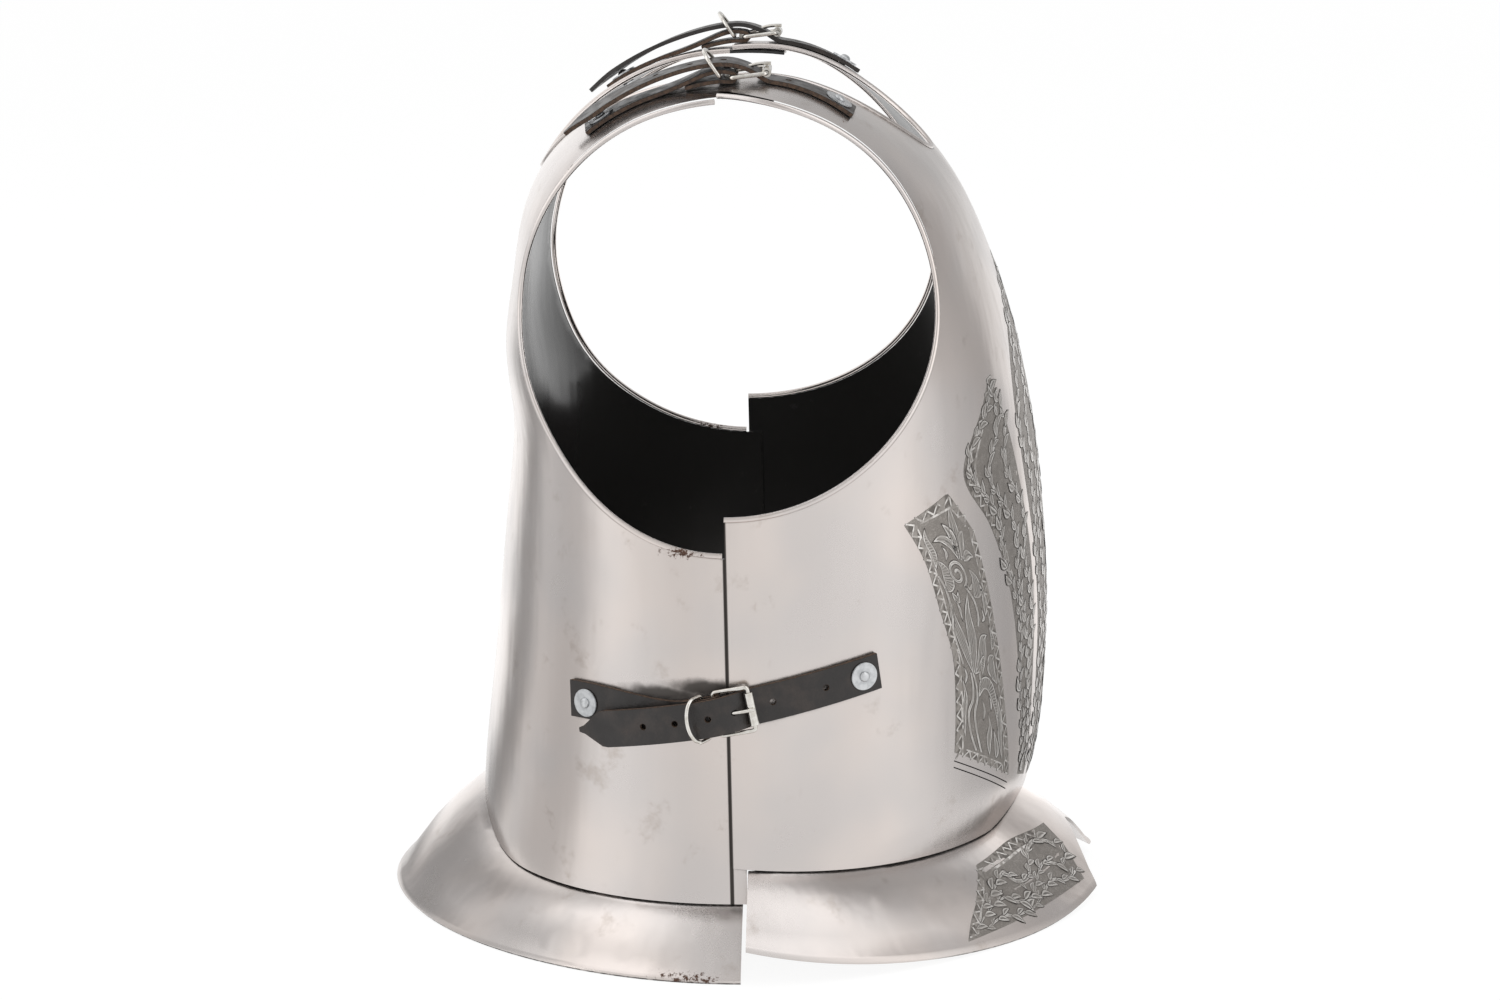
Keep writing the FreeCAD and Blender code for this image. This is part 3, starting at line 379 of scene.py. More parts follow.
def show(work, ending, material, body, slot, sharp_degrees, *nodes):
    """Turn working geometry into a finished piece that rides on a body and replaces a node."""
    name = nodes[0] + ending
    limit = math.radians(sharp_degrees)
    for face in work.faces:
        face.smooth = True
    for edge in work.edges:
        if len(edge.link_faces) == 2:
            edge.smooth = edge.calc_face_angle(0.0) < limit
    mesh = bpy.data.meshes.new(name)
    work.to_mesh(mesh)
    work.free()
    piece = linked(name, mesh)
    for item in material if isinstance(material, list) else [material]:
        mesh.materials.append(item)
    if body:
        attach(piece, body)
    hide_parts(*nodes)
    print(name, len(mesh.polygons), "faces")
    return piece


# %% [markdown]
# ## Polished plate
# Real polished armour is never perfect: broad soft waves from the hammer bend the reflections,
# buffing leaves a faint haze, and brown tarnish sits where hands don't rub. Inside, the plates
# are painted gloss black. The shader tells inside from outside by whether the surface turns
# towards the middle of the chest.

# %% Steel
STEEL = (0.66, 0.600, 0.568)
STEEL_COOL = (0.60, 0.562, 0.545)
TARNISH = (0.33, 0.27, 0.22)
# Near-black for painted shade in narrow corners, where grime also collects, along the seam and
# above the side straps; the reach is how far the corner shade spreads
SHADE_AND_GRIME = (0.045, 0.040, 0.036)
SHADE_AND_GRIME_REACH = 3.5 * MM
RUST = (0.075, 0.030, 0.014)
BLACK_PAINT = (0.026, 0.025, 0.024)
PAINT_DUST = (0.2, 0.2, 0.2)
PAINT_ROUGH = 0.22
POLISH = (0.15, 0.25)
HAZE_WAVES, BLOTCH_WAVES, FINE_WAVES = 14.0, 38.0, 420.0
STAIN_SHARE, SPECK_SHARE = 0.34, 0.55
FINE_ROUGH, SHADE_AND_DIRT_ROUGH, RUST_ROUGH = 0.05, 0.3, 0.5
RUST_BREAK = (0.54, 0.60)
UPRIGHT_STRETCH = (1.0, 1.0, 0.16)
STREAK_DEPTH, WAVE_DEPTH, DENT_DEPTH, FINE_DEPTH = 0.0009, 0.006, 0.0004, 0.00002
SHOULDER_AXIS = 0.27
SEAM_Y = 0.005
SEAM_FOOT_Y = 2.1 * MM
SEAM_LEAN = 0.0222
SEAM_REACH = 1.35 * MM
SEAM_TOP = 0.234
# Painted shade on the backplate above the side straps: how ragged it is, its strength and its
# spots
STRAP_SHADE_DRIFT = 0.5
STRAP_SHADE_SHARE = 0.90
STRAP_SHADE_SPOTS = [
    ((way * 0.166, y, z), (0.03, wide, 0.0062))
    for way in (-1, 1)
    for y, z, wide in ((0.0165, 0.1450, 0.030), (0.0400, 0.1412, 0.034))
]


def nearness(tree, place, spots, span, drift=0.0):
    """How near the closest spot is; a spot is a centre and its reach along each axis."""
    nearest = 0.0
    for centre, reach in spots:
        shift = vector_maths(tree, "SUBTRACT", place, centre)
        away = vector_maths(tree, "LENGTH", vector_maths(tree, "DIVIDE", shift, reach))
        near = between(tree, maths(tree, "ADD", away, drift), *span)
        nearest = maths(tree, "MAXIMUM", nearest, near)
    return nearest


def rust_near(tree, place, spots):
    """Ragged chips of rust round some spots."""
    ragged = noise(tree, place, FINE_WAVES, 5.0, 0.75)
    near = nearness(tree, place, spots, (0.0, 1.0, 0.30, 0.0))
    amount = maths(tree, "ADD", near, maths(tree, "MULTIPLY", ragged, 0.6))
    near_enough = maths(tree, "GREATER_THAN", near, 0.02)
    return maths(tree, "MULTIPLY", between(tree, amount, *RUST_BREAK), near_enough)


def shade_and_grime_in_corners(tree):
    """Painted shade and grime: how deep in a narrow corner a place is, where shade falls and
    polish and dirt collect.
    """
    node = add(tree, "ShaderNodeAmbientOcclusion", {"samples": 12}, Distance=SHADE_AND_GRIME_REACH)
    return between(tree, node.outputs["AO"], 0.40, 0.86, 1.0, 0.0)


def apart(tree, place):
    """The X, Y and Z of a place."""
    return add(tree, "ShaderNodeSeparateXYZ", Vector=place).outputs


def seam_shadow(tree, place):
    """A painted shadow in the gap beside the breastplate's rear edge, a line that leans with
    height.
    """
    x, y, z = apart(tree, place)
    line = maths(tree, "ADD", maths(tree, "MULTIPLY", z, SEAM_LEAN), SEAM_FOOT_Y)
    away = maths(tree, "ABSOLUTE", maths(tree, "SUBTRACT", y, line))
    beside = between(tree, away, SEAM_REACH / 2, SEAM_REACH, 0.97, 0.0)
    return maths(tree, "MULTIPLY", beside, maths(tree, "LESS_THAN", z, SEAM_TOP))


def painted_strap_shade(tree, place):
    """Painted soft shade on the backplate above the side straps, for the straps' shadow and dark
    reflection.
    """
    drift = maths(tree, "MULTIPLY", noise(tree, place, 150.0), STRAP_SHADE_DRIFT)
    return nearness(tree, place, STRAP_SHADE_SPOTS, (0.55, 1.25, STRAP_SHADE_SHARE, 0.0), drift)


def outside_of_plate(tree, place):
    """1 where a surface turns away from the middle of the chest, and 0 inside."""
    turn = tree.nodes.new("ShaderNodeTexCoord").outputs["Normal"]
    x, y, z = apart(tree, place)
    above = maths(tree, "MAXIMUM", maths(tree, "SUBTRACT", z, SHOULDER_AXIS), 0.0)
    way = add(tree, "ShaderNodeCombineXYZ", X=x, Y=maths(tree, "SUBTRACT", y, SEAM_Y), Z=above)
    facing = vector_maths(tree, "DOT_PRODUCT", turn, way.outputs[0])
    return maths(tree, "GREATER_THAN", facing, 0.0)


def steel(name, spots, is_plate):
    """Polished steel with haze, tarnish, rust, and painted shade with grime in corners; a plate
    also has a painted seam shadow, painted shade above the side straps and black paint inside.
    """
    material, tree, shader, place = finish_material(name)
    haze = noise(tree, place, HAZE_WAVES, 2.0)
    fine = noise(tree, place, FINE_WAVES)
    blotch = noise(tree, place, BLOTCH_WAVES, 5.0, 0.65)
    colour = mix_colour(tree, between(tree, haze, 0.35, 0.65), STEEL, STEEL_COOL)
    stain = maths(tree, "MULTIPLY", between(tree, blotch, 0.58, 0.74), STAIN_SHARE)
    colour = mix_colour(tree, stain, colour, TARNISH)
    speck = between(tree, noise(tree, place, 620.0, 4.0, 0.7), 0.68, 0.74)
    patch = between(tree, noise(tree, place, 17.0, 2.0), 0.52, 0.66)
    speck = maths(tree, "MULTIPLY", maths(tree, "MULTIPLY", speck, patch), SPECK_SHARE)
    colour = mix_colour(tree, speck, colour, TARNISH)
    rough = between(tree, haze, *NOISE_SPAN, *POLISH)
    rough = maths(tree, "ADD", rough, maths(tree, "MULTIPLY", fine, FINE_ROUGH))
    crust = between(tree, noise(tree, place, 260.0, 4.0, 0.7), 0.35, 0.60, 0.45, 0.95)
    # Painted shade and grime in narrow corners, broken up by noise
    shade_and_dirt = maths(tree, "MULTIPLY", shade_and_grime_in_corners(tree), crust)
    if is_plate:
        # Painted seam shadow and painted shade above the side straps join the corner shade
        shade_and_dirt = maths(tree, "MAXIMUM", shade_and_dirt, seam_shadow(tree, place))
        shade_and_dirt = maths(tree, "MAXIMUM", shade_and_dirt, painted_strap_shade(tree, place))
    # The mask paints shade and grime in near-black, and roughens the finish there
    colour = mix_colour(tree, shade_and_dirt, colour, SHADE_AND_GRIME)
    rough = maths(tree, "ADD", rough, maths(tree, "MULTIPLY", shade_and_dirt, SHADE_AND_DIRT_ROUGH))
    rusty = rust_near(tree, place, spots)
    colour = mix_colour(tree, rusty, colour, RUST)
    rough = maths(tree, "ADD", rough, maths(tree, "MULTIPLY", rusty, RUST_ROUGH))
    metal = maths(tree, "SUBTRACT", 1.0, rusty)
    if is_plate:
        outside = outside_of_plate(tree, place)
        dust = between(tree, noise(tree, place, 90.0, 6.0, 0.7), 0.62, 0.75, 0.0, 0.08)
        colour = mix_colour(tree, outside, mix_colour(tree, dust, BLACK_PAINT, PAINT_DUST), colour)
        inside = maths(tree, "SUBTRACT", 1.0, outside)
        rough = maths(
            tree, "ADD", maths(tree, "MULTIPLY", rough, outside),
            maths(tree, "MULTIPLY", inside, PAINT_ROUGH),
        )
        metal = maths(tree, "MULTIPLY", metal, outside)
    stretch = vector_maths(tree, "MULTIPLY", place, UPRIGHT_STRETCH)
    streaks = bump(tree, noise(tree, stretch, 46.0, 2.0), STREAK_DEPTH, 0.5)
    waves = bump(tree, noise(tree, place, 9.0, 1.5), WAVE_DEPTH, 0.35, streaks)
    dents = bump(tree, noise(tree, place, 34.0, 1.0), DENT_DEPTH, 0.5, waves)
    relief = bump(tree, fine, FINE_DEPTH, 0.3, dents)
    feed(tree, shader, Base_Color=colour, Roughness=rough, Metallic=metal, Normal=relief)
    return material


# Each rust spot is a centre and how far it spreads along X, Y and Z, all in metres
RIM_RUST = [((way * 0.166, 0.030, 0.2145), (0.03, 0.034, 0.010)) for way in (-1, 1)]
SKIRT_RUST = [((way * 0.190, 0.022, 0.002), (0.03, 0.056, 0.0090)) for way in (-1, 1)]
SHOULDER_RUST = [((way * 0.108, -0.048, 0.424), (0.012, 0.012, 0.006)) for way in (-1, 1)]
PLATE_RUST = RIM_RUST + SHOULDER_RUST
plate_steel = steel("polished_plate", PLATE_RUST, True)
skirt_steel = steel("polished_skirt", SKIRT_RUST, False)
rim_steel = steel("polished_rim", PLATE_RUST, False)

PLATES = (
    ("breast_shell", "breast", plate_steel, 40),
    ("back_shell", "back", plate_steel, 40),
    ("breast_skirt", "breast", skirt_steel, 28),
    ("back_skirt", "back", skirt_steel, 28),
)
for node, body, material, sharp in PLATES:
    show(merged_copy(node), "_skin", material, body, "plate_steel", sharp, node)
for node in sorted(frame["nodes"]):
    if "_rim" in node:
        show(merged_copy(node), "_roll", rim_steel, node.split("_")[0], "rim_steel", 60, node)

# %% [markdown]
# ## Etched panels
# The breastplate carries three panels a side, etched with scrolling leaves on a grey ground.
# Etching lowers the metal by a hair, so each panel is a thin skin that lies on the plate and
# borrows its smooth normals: a grey ground first, then ribbons for stems, petals and borders.
# Every ribbon remembers how far a point is along it, from its middle and from its edge, and
# the shader draws the bright outline, a painted shadow line with dirt outside it, and the fine
# lines inside from those three numbers. The leaves are the maker's usual kind of foliage, drawn by
# curves here.

# %% Etched metal
GROUND = (0.345, 0.320, 0.297)
GROUND_DARK = (0.25, 0.230, 0.212)
LINE_LIGHT = (0.74, 0.71, 0.68)
# Painted shadow beside the raised outline, with dirt in the etched edge
OUTLINE_SHADOW_AND_DIRT = (0.085, 0.077, 0.070)
PETAL_LINE = (0.12, 0.110, 0.100)
PETAL_GROUND = (0.44, 0.415, 0.39)
BORDER_DARK = (0.17, 0.156, 0.143)
LINE_WIDTH = 0.42
ETCH_DEPTH, BORDER_DEPTH, OUTLINE_DEPTH = 0.00005, 0.00006, 0.00012
INNER_PITCH = 1.45

ground_metal, tree, shader, place = finish_material("etched_ground")
mottle = between(tree, noise(tree, place, 240.0, 4.0, 0.65), 0.35, 0.65)
pits = between(tree, noise(tree, place, 1500.0, 2.0), 0.40, 0.62)
mottle = maths(tree, "MULTIPLY", mottle, pits)
feed(
    tree, shader, Base_Color=mix_colour(tree, mottle, GROUND_DARK, GROUND), Metallic=1.0,
    Roughness=between(tree, pits, 0.0, 1.0, 0.55, 0.42),
    Normal=bump(tree, mottle, ETCH_DEPTH, 0.6),
)


def etched_ribbon_metal(name, ladder):
    """Bright outline, a painted shadow line with dirt at its edge, and lines inside along the
    ribbon or across it.
    """
    material, tree, shader, place = finish_material(name)
    wobble = maths(tree, "SUBTRACT", noise(tree, place, 520.0, 2.0), 0.5)
    edge = maths(tree, "SUBTRACT", attribute(tree, "half"), attribute(tree, "aside"))
    edge = maths(tree, "ADD", edge, maths(tree, "MULTIPLY", wobble, 0.35))
    outline = between(tree, edge, LINE_WIDTH, LINE_WIDTH * 1.4)
    inside = between(tree, edge, LINE_WIDTH * 2.6, LINE_WIDTH * 3.0)
    across = attribute(tree, "along" if ladder else "aside")
    wave = maths(tree, "PINGPONG", maths(tree, "ADD", across, wobble), INNER_PITCH / 2)
    lines = between(tree, wave, INNER_PITCH * 0.22, INNER_PITCH * 0.32)
    inner = mix_colour(tree, lines, PETAL_LINE, PETAL_GROUND)
    # The ribbon's outer edge is painted dark as the outline's shadow, with dirt
    rim = mix_colour(tree, outline, OUTLINE_SHADOW_AND_DIRT, LINE_LIGHT)
    worn = between(tree, noise(tree, place, 210.0, 3.0), 0.35, 0.62, 0.35, 1.0)
    shade = mix_colour(tree, maths(tree, "MULTIPLY", inside, 0.85), rim, inner)
    level = maths(tree, "MULTIPLY", outline, maths(tree, "SUBTRACT", 1.0, inside))
    feed(
        tree, shader, Base_Color=mix_colour(tree, worn, GROUND, shade), Metallic=1.0,
        Roughness=between(tree, outline, 0.0, 1.0, 0.55, 0.30),
        Normal=bump(tree, level, OUTLINE_DEPTH, 0.8),
    )
    return material


def plain_line_metal(name, colour, worn_rough, fresh_rough):
    """One tone of etched metal, for the borders."""
    material, tree, shader, place = finish_material(name)
    worn = between(tree, noise(tree, place, 260.0, 4.0), 0.40, 0.60)
    feed(
        tree, shader, Base_Color=mix_colour(tree, worn, GROUND, colour), Metallic=1.0,
        Roughness=between(tree, worn, 0.0, 1.0, worn_rough, fresh_rough),
        Normal=bump(tree, worn, BORDER_DEPTH, 0.6),
    )
    return material


border_line_metal = plain_line_metal("etched_border_line", LINE_LIGHT, 0.45, 0.30)
border_dark_metal = plain_line_metal("etched_border_dark", BORDER_DARK, 0.55, 0.60)
lined_metal = etched_ribbon_metal("etched_leaf", False)
ladder_metal = etched_ribbon_metal("etched_ladder", True)
ETCHED_METALS = [lined_metal, ladder_metal, ground_metal, border_line_metal, border_dark_metal]
LINED, LADDER, GROUND_ONLY, BORDER_LIGHT, BORDER_SHADE = range(5)
print("etched finishes", len(ETCHED_METALS))


# %% Points on a plate
def chart(node):
    """A search tree and smooth normals for the outside of a plate."""
    work = merged_copy(node)
    work.normal_update()
    work.verts.ensure_lookup_table()
    work.faces.ensure_lookup_table()
    corners = [[v.co.copy() for v in face.verts] for face in work.faces]
    normals = [[v.normal.copy() for v in face.verts] for face in work.faces]
    return BVHTree.FromBMesh(work), corners, normals


OUTSIDE = 0.45


def place_on(surface, angle, height, lift):
    """The plate's point at an angle from the front and a height in mm, and its normal."""
    found, corners, normals = surface
    turn = math.radians(angle)
    way = Vector((-math.sin(turn), -math.cos(turn), 0))
    level = Vector((0, 0, height * MM))
    hit, _, face, _ = found.ray_cast(level + way * OUTSIDE, -way)
    if hit is None:
        return None
    weights = interpolate.poly_3d_calc(corners[face], hit)
    smooth = sum((n * w for n, w in zip(normals[face], weights)), Vector())
    smooth.normalize()
    return hit + smooth * (lift * MM), smooth


breast_chart = chart("breast_shell")
skirt_chart = chart("breast_skirt")
print("charted faces", len(breast_chart[2]), "and", len(skirt_chart[2]))


def along_rows(rows, share):
    """A smooth curve through rows of numbers at a share of its length."""
    place = min(max(share, 0.0), 1.0) * (len(rows) - 1)
    index = min(int(place), len(rows) - 2)
    t = place - index
    before = rows[max(index - 1, 0)]
    after = rows[min(index + 2, len(rows) - 1)]
    values = []
    for p, a, b, n in zip(before, rows[index], rows[index + 1], after):
        bend = 2 * p - 5 * a + 4 * b - n
        twist = 3 * a - p - 3 * b + n
        values.append(a + 0.5 * t * ((b - p) + t * (bend + t * twist)))
    return values


# %% [markdown]
# ## The panels' shapes
# A panel is a four-sided patch. Its left and right edges are given as a few (angle, height)
# stations, angle in degrees from the front ridge and height in millimetres. Drawing inside a
# panel is done on a flat sheet of the panel's own width and height, so that a motif can be
# written in millimetres and follows the plate wherever the panel lies.

# %% Panels
MIDDLE_EDGE = (
    (6.6, 61), (10.0, 105), (10.6, 145), (12.4, 179), (14.6, 207), (17.5, 238), (19.5, 265),
    (17.5, 292), (10.0, 318), (1.5, 343),
)
PANELS = {
    # name: (left edge, right edge, sheet width, sheet height, peak, surface)
    "outer": (
        ((44.2, 97), (44.6, 125), (46.0, 150), (50.0, 176), (54.0, 203), (59.0, 224)),
        ((21.5, 71), (26.0, 104), (29.5, 135), (33.0, 162), (36.8, 189), (40.5, 213)),
        46, 134, 19, breast_chart,
    ),
    "inner": (
        ((15.5, 67), (19.5, 108), (23.6, 151), (28.5, 185), (35.0, 214), (43.6, 245),
         (36.0, 278), (32.6, 290)),
        ((9.4, 63), (12.6, 105), (13.4, 145), (15.1, 179), (17.5, 207), (21.5, 238),
         (26.5, 267), (32.2, 290)),
        30, 214, 0, breast_chart,
    ),
    "middle": (
        MIDDLE_EDGE, tuple((-angle, level) for angle, level in MIDDLE_EDGE),
        62, 270, 0, breast_chart,
    ),
    "skirt": (
        ((50.5, 6.5), (48.0, 14), (44.0, 22), (38.0, 33)),
        ((13.5, 10.5), (11.8, 18), (10.2, 26), (9.0, 36)),
        82, 34, 0, skirt_chart,
    ),
}
PEAK_PLACE = 0.58
PEAK_START = 0.72
GROUND_LIFT = 0.05
RIBBON_LIFT = 0.10
LEAF_LIFT = 0.15


def panel_point(panel, x, y, lift, hand):
    """The place and normal on the plate of a sheet point in mm, for one hand."""
    left, right, width, height, peak, surface = PANELS[panel]
    across, up = x / width, y / height
    start, end = along_rows(left, up), along_rows(right, up)
    angle = start[0] + (end[0] - start[0]) * across
    level = start[1] + (end[1] - start[1]) * across
    tent = across / PEAK_PLACE if across < PEAK_PLACE else (1 - across) / (1 - PEAK_PLACE)
    level += peak * tent * max(0.0, (up - PEAK_START) / (1 - PEAK_START)) ** 2
    return place_on(surface, hand * angle, level, lift)


def smooth_through(points, step):
    """Points along a smooth curve, about a step apart."""
    length = sum(math.dist(a, b) for a, b in zip(points, points[1:]))
    count = max(2, round(length / step))
    return [along_rows(points, number / count) for number in range(count + 1)]


class Skin:
    """A mesh in the making: points with smooth normals, faces, and numbers on the points."""

    def __init__(self):
        self.points, self.normals, self.faces, self.materials = [], [], [], []
        self.numbers = {"along": [], "aside": [], "half": []}

    def point(self, spot, along, aside, half):
        self.points.append(spot[0])
        self.normals.append(spot[1])
        for name, value in (("along", along), ("aside", aside), ("half", half)):
            self.numbers[name].append(value)
        return len(self.points) - 1

    def build(self, name):
        mesh = bpy.data.meshes.new(name)
        mesh.from_pydata(self.points, [], self.faces)
        for material in ETCHED_METALS:
            mesh.materials.append(material)
        for face, index in zip(mesh.polygons, self.materials):
            face.material_index = index
            face.use_smooth = True
        keep_numbers(mesh, self.numbers)
        mesh.normals_split_custom_set_from_vertices(self.normals)
        piece = linked(name, mesh)
        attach(piece, "breast")
        print(name, len(mesh.polygons), "faces")


def add_face(skin, corners, hand, material):
    """A face whose outside stays outside on both hands."""
    skin.faces.append(corners if hand > 0 else corners[::-1])
    skin.materials.append(material)


RIBBON_STEP = 1.3
THINNEST = 0.02


def half_at(widths, share):
    """Half of a ribbon's width at a share of its length."""
    return max(along_rows([(width,) for width in widths], share)[0] / 2, THINNEST)


def add_ribbon(skin, panel, hand, points, widths, material=LINED, lift=RIBBON_LIFT):
    """A ribbon along sheet points, whose width follows a row of widths, all in mm."""
    line = smooth_through(points, RIBBON_STEP)
    rail = []
    run = 0.0
    for number, (x, y) in enumerate(line):
        before, after = line[max(number - 1, 0)], line[min(number + 1, len(line) - 1)]
        dx, dy = after[0] - before[0], after[1] - before[1]
        length = math.hypot(dx, dy) or 1.0
        half = half_at(widths, number / (len(line) - 1))
        run += math.dist(before, (x, y))
        row = []
        for side in (-1, 0, 1):
            spot = panel_point(
                panel, x - side * half * dy / length, y + side * half * dx / length, lift, hand
            )
            if spot is None:
                return
            row.append(skin.point(spot, run, abs(side) * half, half))
        rail.append(row)
    for first, second in zip(rail, rail[1:]):
        for k in (0, 1):
            add_face(skin, (first[k], second[k], second[k + 1], first[k + 1]), hand, material)


GROUND_STEP = 2.6


def add_ground(skin, panel, hand):
    """The panel's grey ground as a grid."""
    width, height = PANELS[panel][2:4]
    columns, rows = max(4, round(width / GROUND_STEP)), max(4, round(height / GROUND_STEP))
    grid = []
    for row in range(rows + 1):
        line = []
        for column in range(columns + 1):
            x, y = width * column / columns, height * row / rows
            line.append(skin.point(panel_point(panel, x, y, GROUND_LIFT, hand), 0, 0, 0))
        grid.append(line)
    for low, high in zip(grid, grid[1:]):
        for k in range(columns):
            corners = (low[k + 1], high[k + 1], high[k], low[k])
            add_face(skin, corners, hand, GROUND_ONLY)


print("panels", ", ".join(PANELS))


# %% [markdown]
# ## Motifs
# Each motif is a list of ribbons: points in millimetres on the panel's sheet and a row of
# widths. A petal is a ribbon that swells and closes, a stem keeps its width, and a scroll is a
# spiral. The outer panel is drawn motif by motif, from the stems at its foot to the thistle at
# its top. The inner and middle panels are filled with wavy stems that a formula lays out.

# %% Draw the motifs
STEM = (2.4, 2.6, 2.4)
PETAL = (1.6, 7.0, 8.4, 5.4, 0.5)
SLIM = (1.2, 4.4, 5.0, 3.0, 0.4)
HOOK = (1.8, 6.4, 8.6, 7.0, 3.8, 0.6)
TINY = (0.6, 2.6, 2.2, 0.3)


def spiral(x, y, radius, turns, start):
    """Points of a scroll that winds in to its eye."""
    points = []
    steps = round(turns * 10)
    for step in range(steps + 1):
        angle = math.radians(start) + 2 * math.pi * turns * step / steps
        out = radius * (1 - 0.82 * step / steps)
        points.append((x + out * math.cos(angle), y + out * math.sin(angle)))
    return points


OUTER_MOTIFS = [
    # points in mm, widths in mm, and LADDER where the inner lines run across
    ([(15, 7), (11, 15), (10, 23), (14, 31), (15, 39), (14, 46)], STEM),
    ([(19, 7), (16, 16), (15, 24), (18, 32), (18, 40), (16, 46)], STEM),
    ([(16, 46), (13, 56), (11, 66), (9, 78), (11, 87)], PETAL),
    ([(17, 46), (19, 58), (21, 70), (22, 82), (26, 95)], PETAL),
    ([(18, 46), (24, 52), (28, 60), (31, 68), (36, 71)], PETAL),
    ([(20, 34), (24, 41), (30, 42), (34, 36), (36, 28), (35, 20)], HOOK, LADDER),
    ([(26, 7), (26, 14), (28, 20), (27, 27)], SLIM),
    ([(32, 7), (33, 13), (31, 20)], SLIM),
    ([(38, 8), (37, 18), (39, 28), (38, 38)], SLIM),
    ([(39, 44), (35, 50), (36, 57), (40, 59)], HOOK),
    ([(38, 62), (41, 69), (39, 77)], SLIM, LADDER),
    (spiral(21, 103, 7.4, 1.6, -60), STEM),
    ([(25, 97), (30, 90), (31, 82), (29, 75)], STEM),
    ([(8, 50), (6, 60), (6, 70), (9, 80), (9, 92), (6, 100)], STEM),
    ([(7, 12), (6, 22), (8, 32), (6, 42)], SLIM),
    ([(9, 92), (13, 97), (12, 105), (8, 109)], HOOK, LADDER),
    ([(31, 92), (35, 96), (35, 103), (31, 107)], HOOK),
    ([(38, 82), (40, 92), (38, 101)], SLIM),
    ([(25, 110), (22, 116), (16, 119), (10, 118)], SLIM),
    ([(26, 110), (24, 119), (19, 125)], SLIM),
    ([(27, 110), (27, 120), (26, 130)], PETAL),
    ([(28, 110), (31, 119), (34, 124)], SLIM),
    ([(29, 110), (34, 114), (39, 114)], SLIM),
    ([(6, 104), (8, 112), (7, 120), (9, 126)], SLIM, LADDER),
    ([(29, 58), (26, 52), (25, 46)], SLIM, LADDER),
    ([(13, 92), (16, 88), (18, 94)], SLIM),
    ([(8, 38), (10, 44), (8, 49)], TINY),
    ([(22, 22), (24, 28), (22, 33)], TINY),
    ([(30, 28), (31, 33), (29, 36)], TINY),
    ([(23, 40), (22, 46), (24, 49)], TINY),
    ([(33, 78), (36, 81), (35, 87)], TINY),
    ([(16, 76), (16, 84), (14, 88)], TINY),
    ([(34, 46), (31, 50), (33, 55)], TINY),
    ([(15, 109), (17, 113), (15, 116)], TINY),
    ([(32, 100), (29, 96), (27, 99)], TINY),
]
BORDER_WIDTH = 5.2
BORDER_LINE = (0.9, 0.9)
BORDER_GROUND = (4.6, 4.6)
BORDER_LIFT = GROUND_LIFT + 0.02
STEM_STEP = 6
WAVES = (3.2, 4.4)
SIDE_STEPS, END_STEPS = 12, 6


def wavy_stems(panel, count, sway, low, high, seed):
    """Sheet points of stems that sway side by side up a panel."""
    chance = random.Random(seed)
    width, height = PANELS[panel][2:4]
    stems = []
    for number in range(count):
        middle = width * (number + 0.5) / count
        phase = chance.uniform(0, 2 * math.pi)
        waves = chance.uniform(*WAVES)
        points = []
        steps = round(height / STEM_STEP)
        for step in range(steps + 1):
            share = low + (high - low) * step / steps
            swing = sway * math.sin(phase + 2 * math.pi * waves * share)
            points.append((middle + swing, height * share))
        stems.append(points)
    return stems


FILL_STEMS = {
    # panel: stems, sway in mm, lowest share, highest share, seed
    "inner": (3, 3.2, 0.015, 0.90, 4),
    "middle": (6, 3.0, 0.01, 0.93, 9),
}
SKIRT_STEMS = [
    [(4, 6), (12, 14), (22, 16), (31, 10), (42, 9), (52, 17), (62, 20), (72, 14), (79, 18)],
    [(6, 16), (14, 23), (24, 26), (34, 20), (44, 19), (54, 27), (66, 29), (76, 25)],
    [(10, 4), (20, 7), (28, 4), (40, 3), (50, 7), (60, 10), (70, 6), (79, 7)],
]


def edge_line(panel, inset, low, side):
    """Sheet points that follow one side of a panel at an inset."""
    width, height = PANELS[panel][2:4]
    if side in ("top", "foot"):
        y = height - inset if side == "top" else inset
        points = [(width * step / END_STEPS, y) for step in range(1, END_STEPS)]
    else:
        x = inset if side == "left" else width - inset
        steps = range(round(SIDE_STEPS * low), SIDE_STEPS)
        points = [(x, height * step / SIDE_STEPS) for step in steps] + [(x, height - inset)]
    return points[::-1] if side in ("right", "foot") else points


BORDERS = {
    # panel: list of (side, lowest share)
    "outer": (("left", 0.04), ("top", 0.0), ("right", 0.04), ("foot", 0.0)),
    "inner": (("left", 0.40),),
    "middle": (),
    "skirt": (("top", 0.0), ("left", 0.1)),
}


def stems_of(panel):
    """The stems of a panel that carry small leaves."""
    if panel == "skirt":
        return SKIRT_STEMS
    return wavy_stems(panel, *FILL_STEMS[panel]) if panel in FILL_STEMS else []


stem_paths, zigzag_paths = [], []
for panel in PANELS:
    skin = Skin()
    for hand in (1,) if panel == "middle" else (1, -1):
        add_ground(skin, panel, hand)
        for motif in OUTER_MOTIFS if panel == "outer" else ():
            add_ribbon(skin, panel, hand, *motif)
        for points in stems_of(panel):
            add_ribbon(skin, panel, hand, points, STEM)
            stem_paths.append((panel, hand, points))
        for side, low in BORDERS[panel]:
            line = edge_line(panel, BORDER_WIDTH, low, side)
            add_ribbon(skin, panel, hand, line, BORDER_LINE, BORDER_LIGHT)
            line = edge_line(panel, BORDER_WIDTH / 2, low, side)
            add_ribbon(skin, panel, hand, line, BORDER_GROUND, BORDER_SHADE, BORDER_LIFT)
            zigzag_paths.append((panel, hand, line))
    skin.build("etched_%s_panel" % panel)

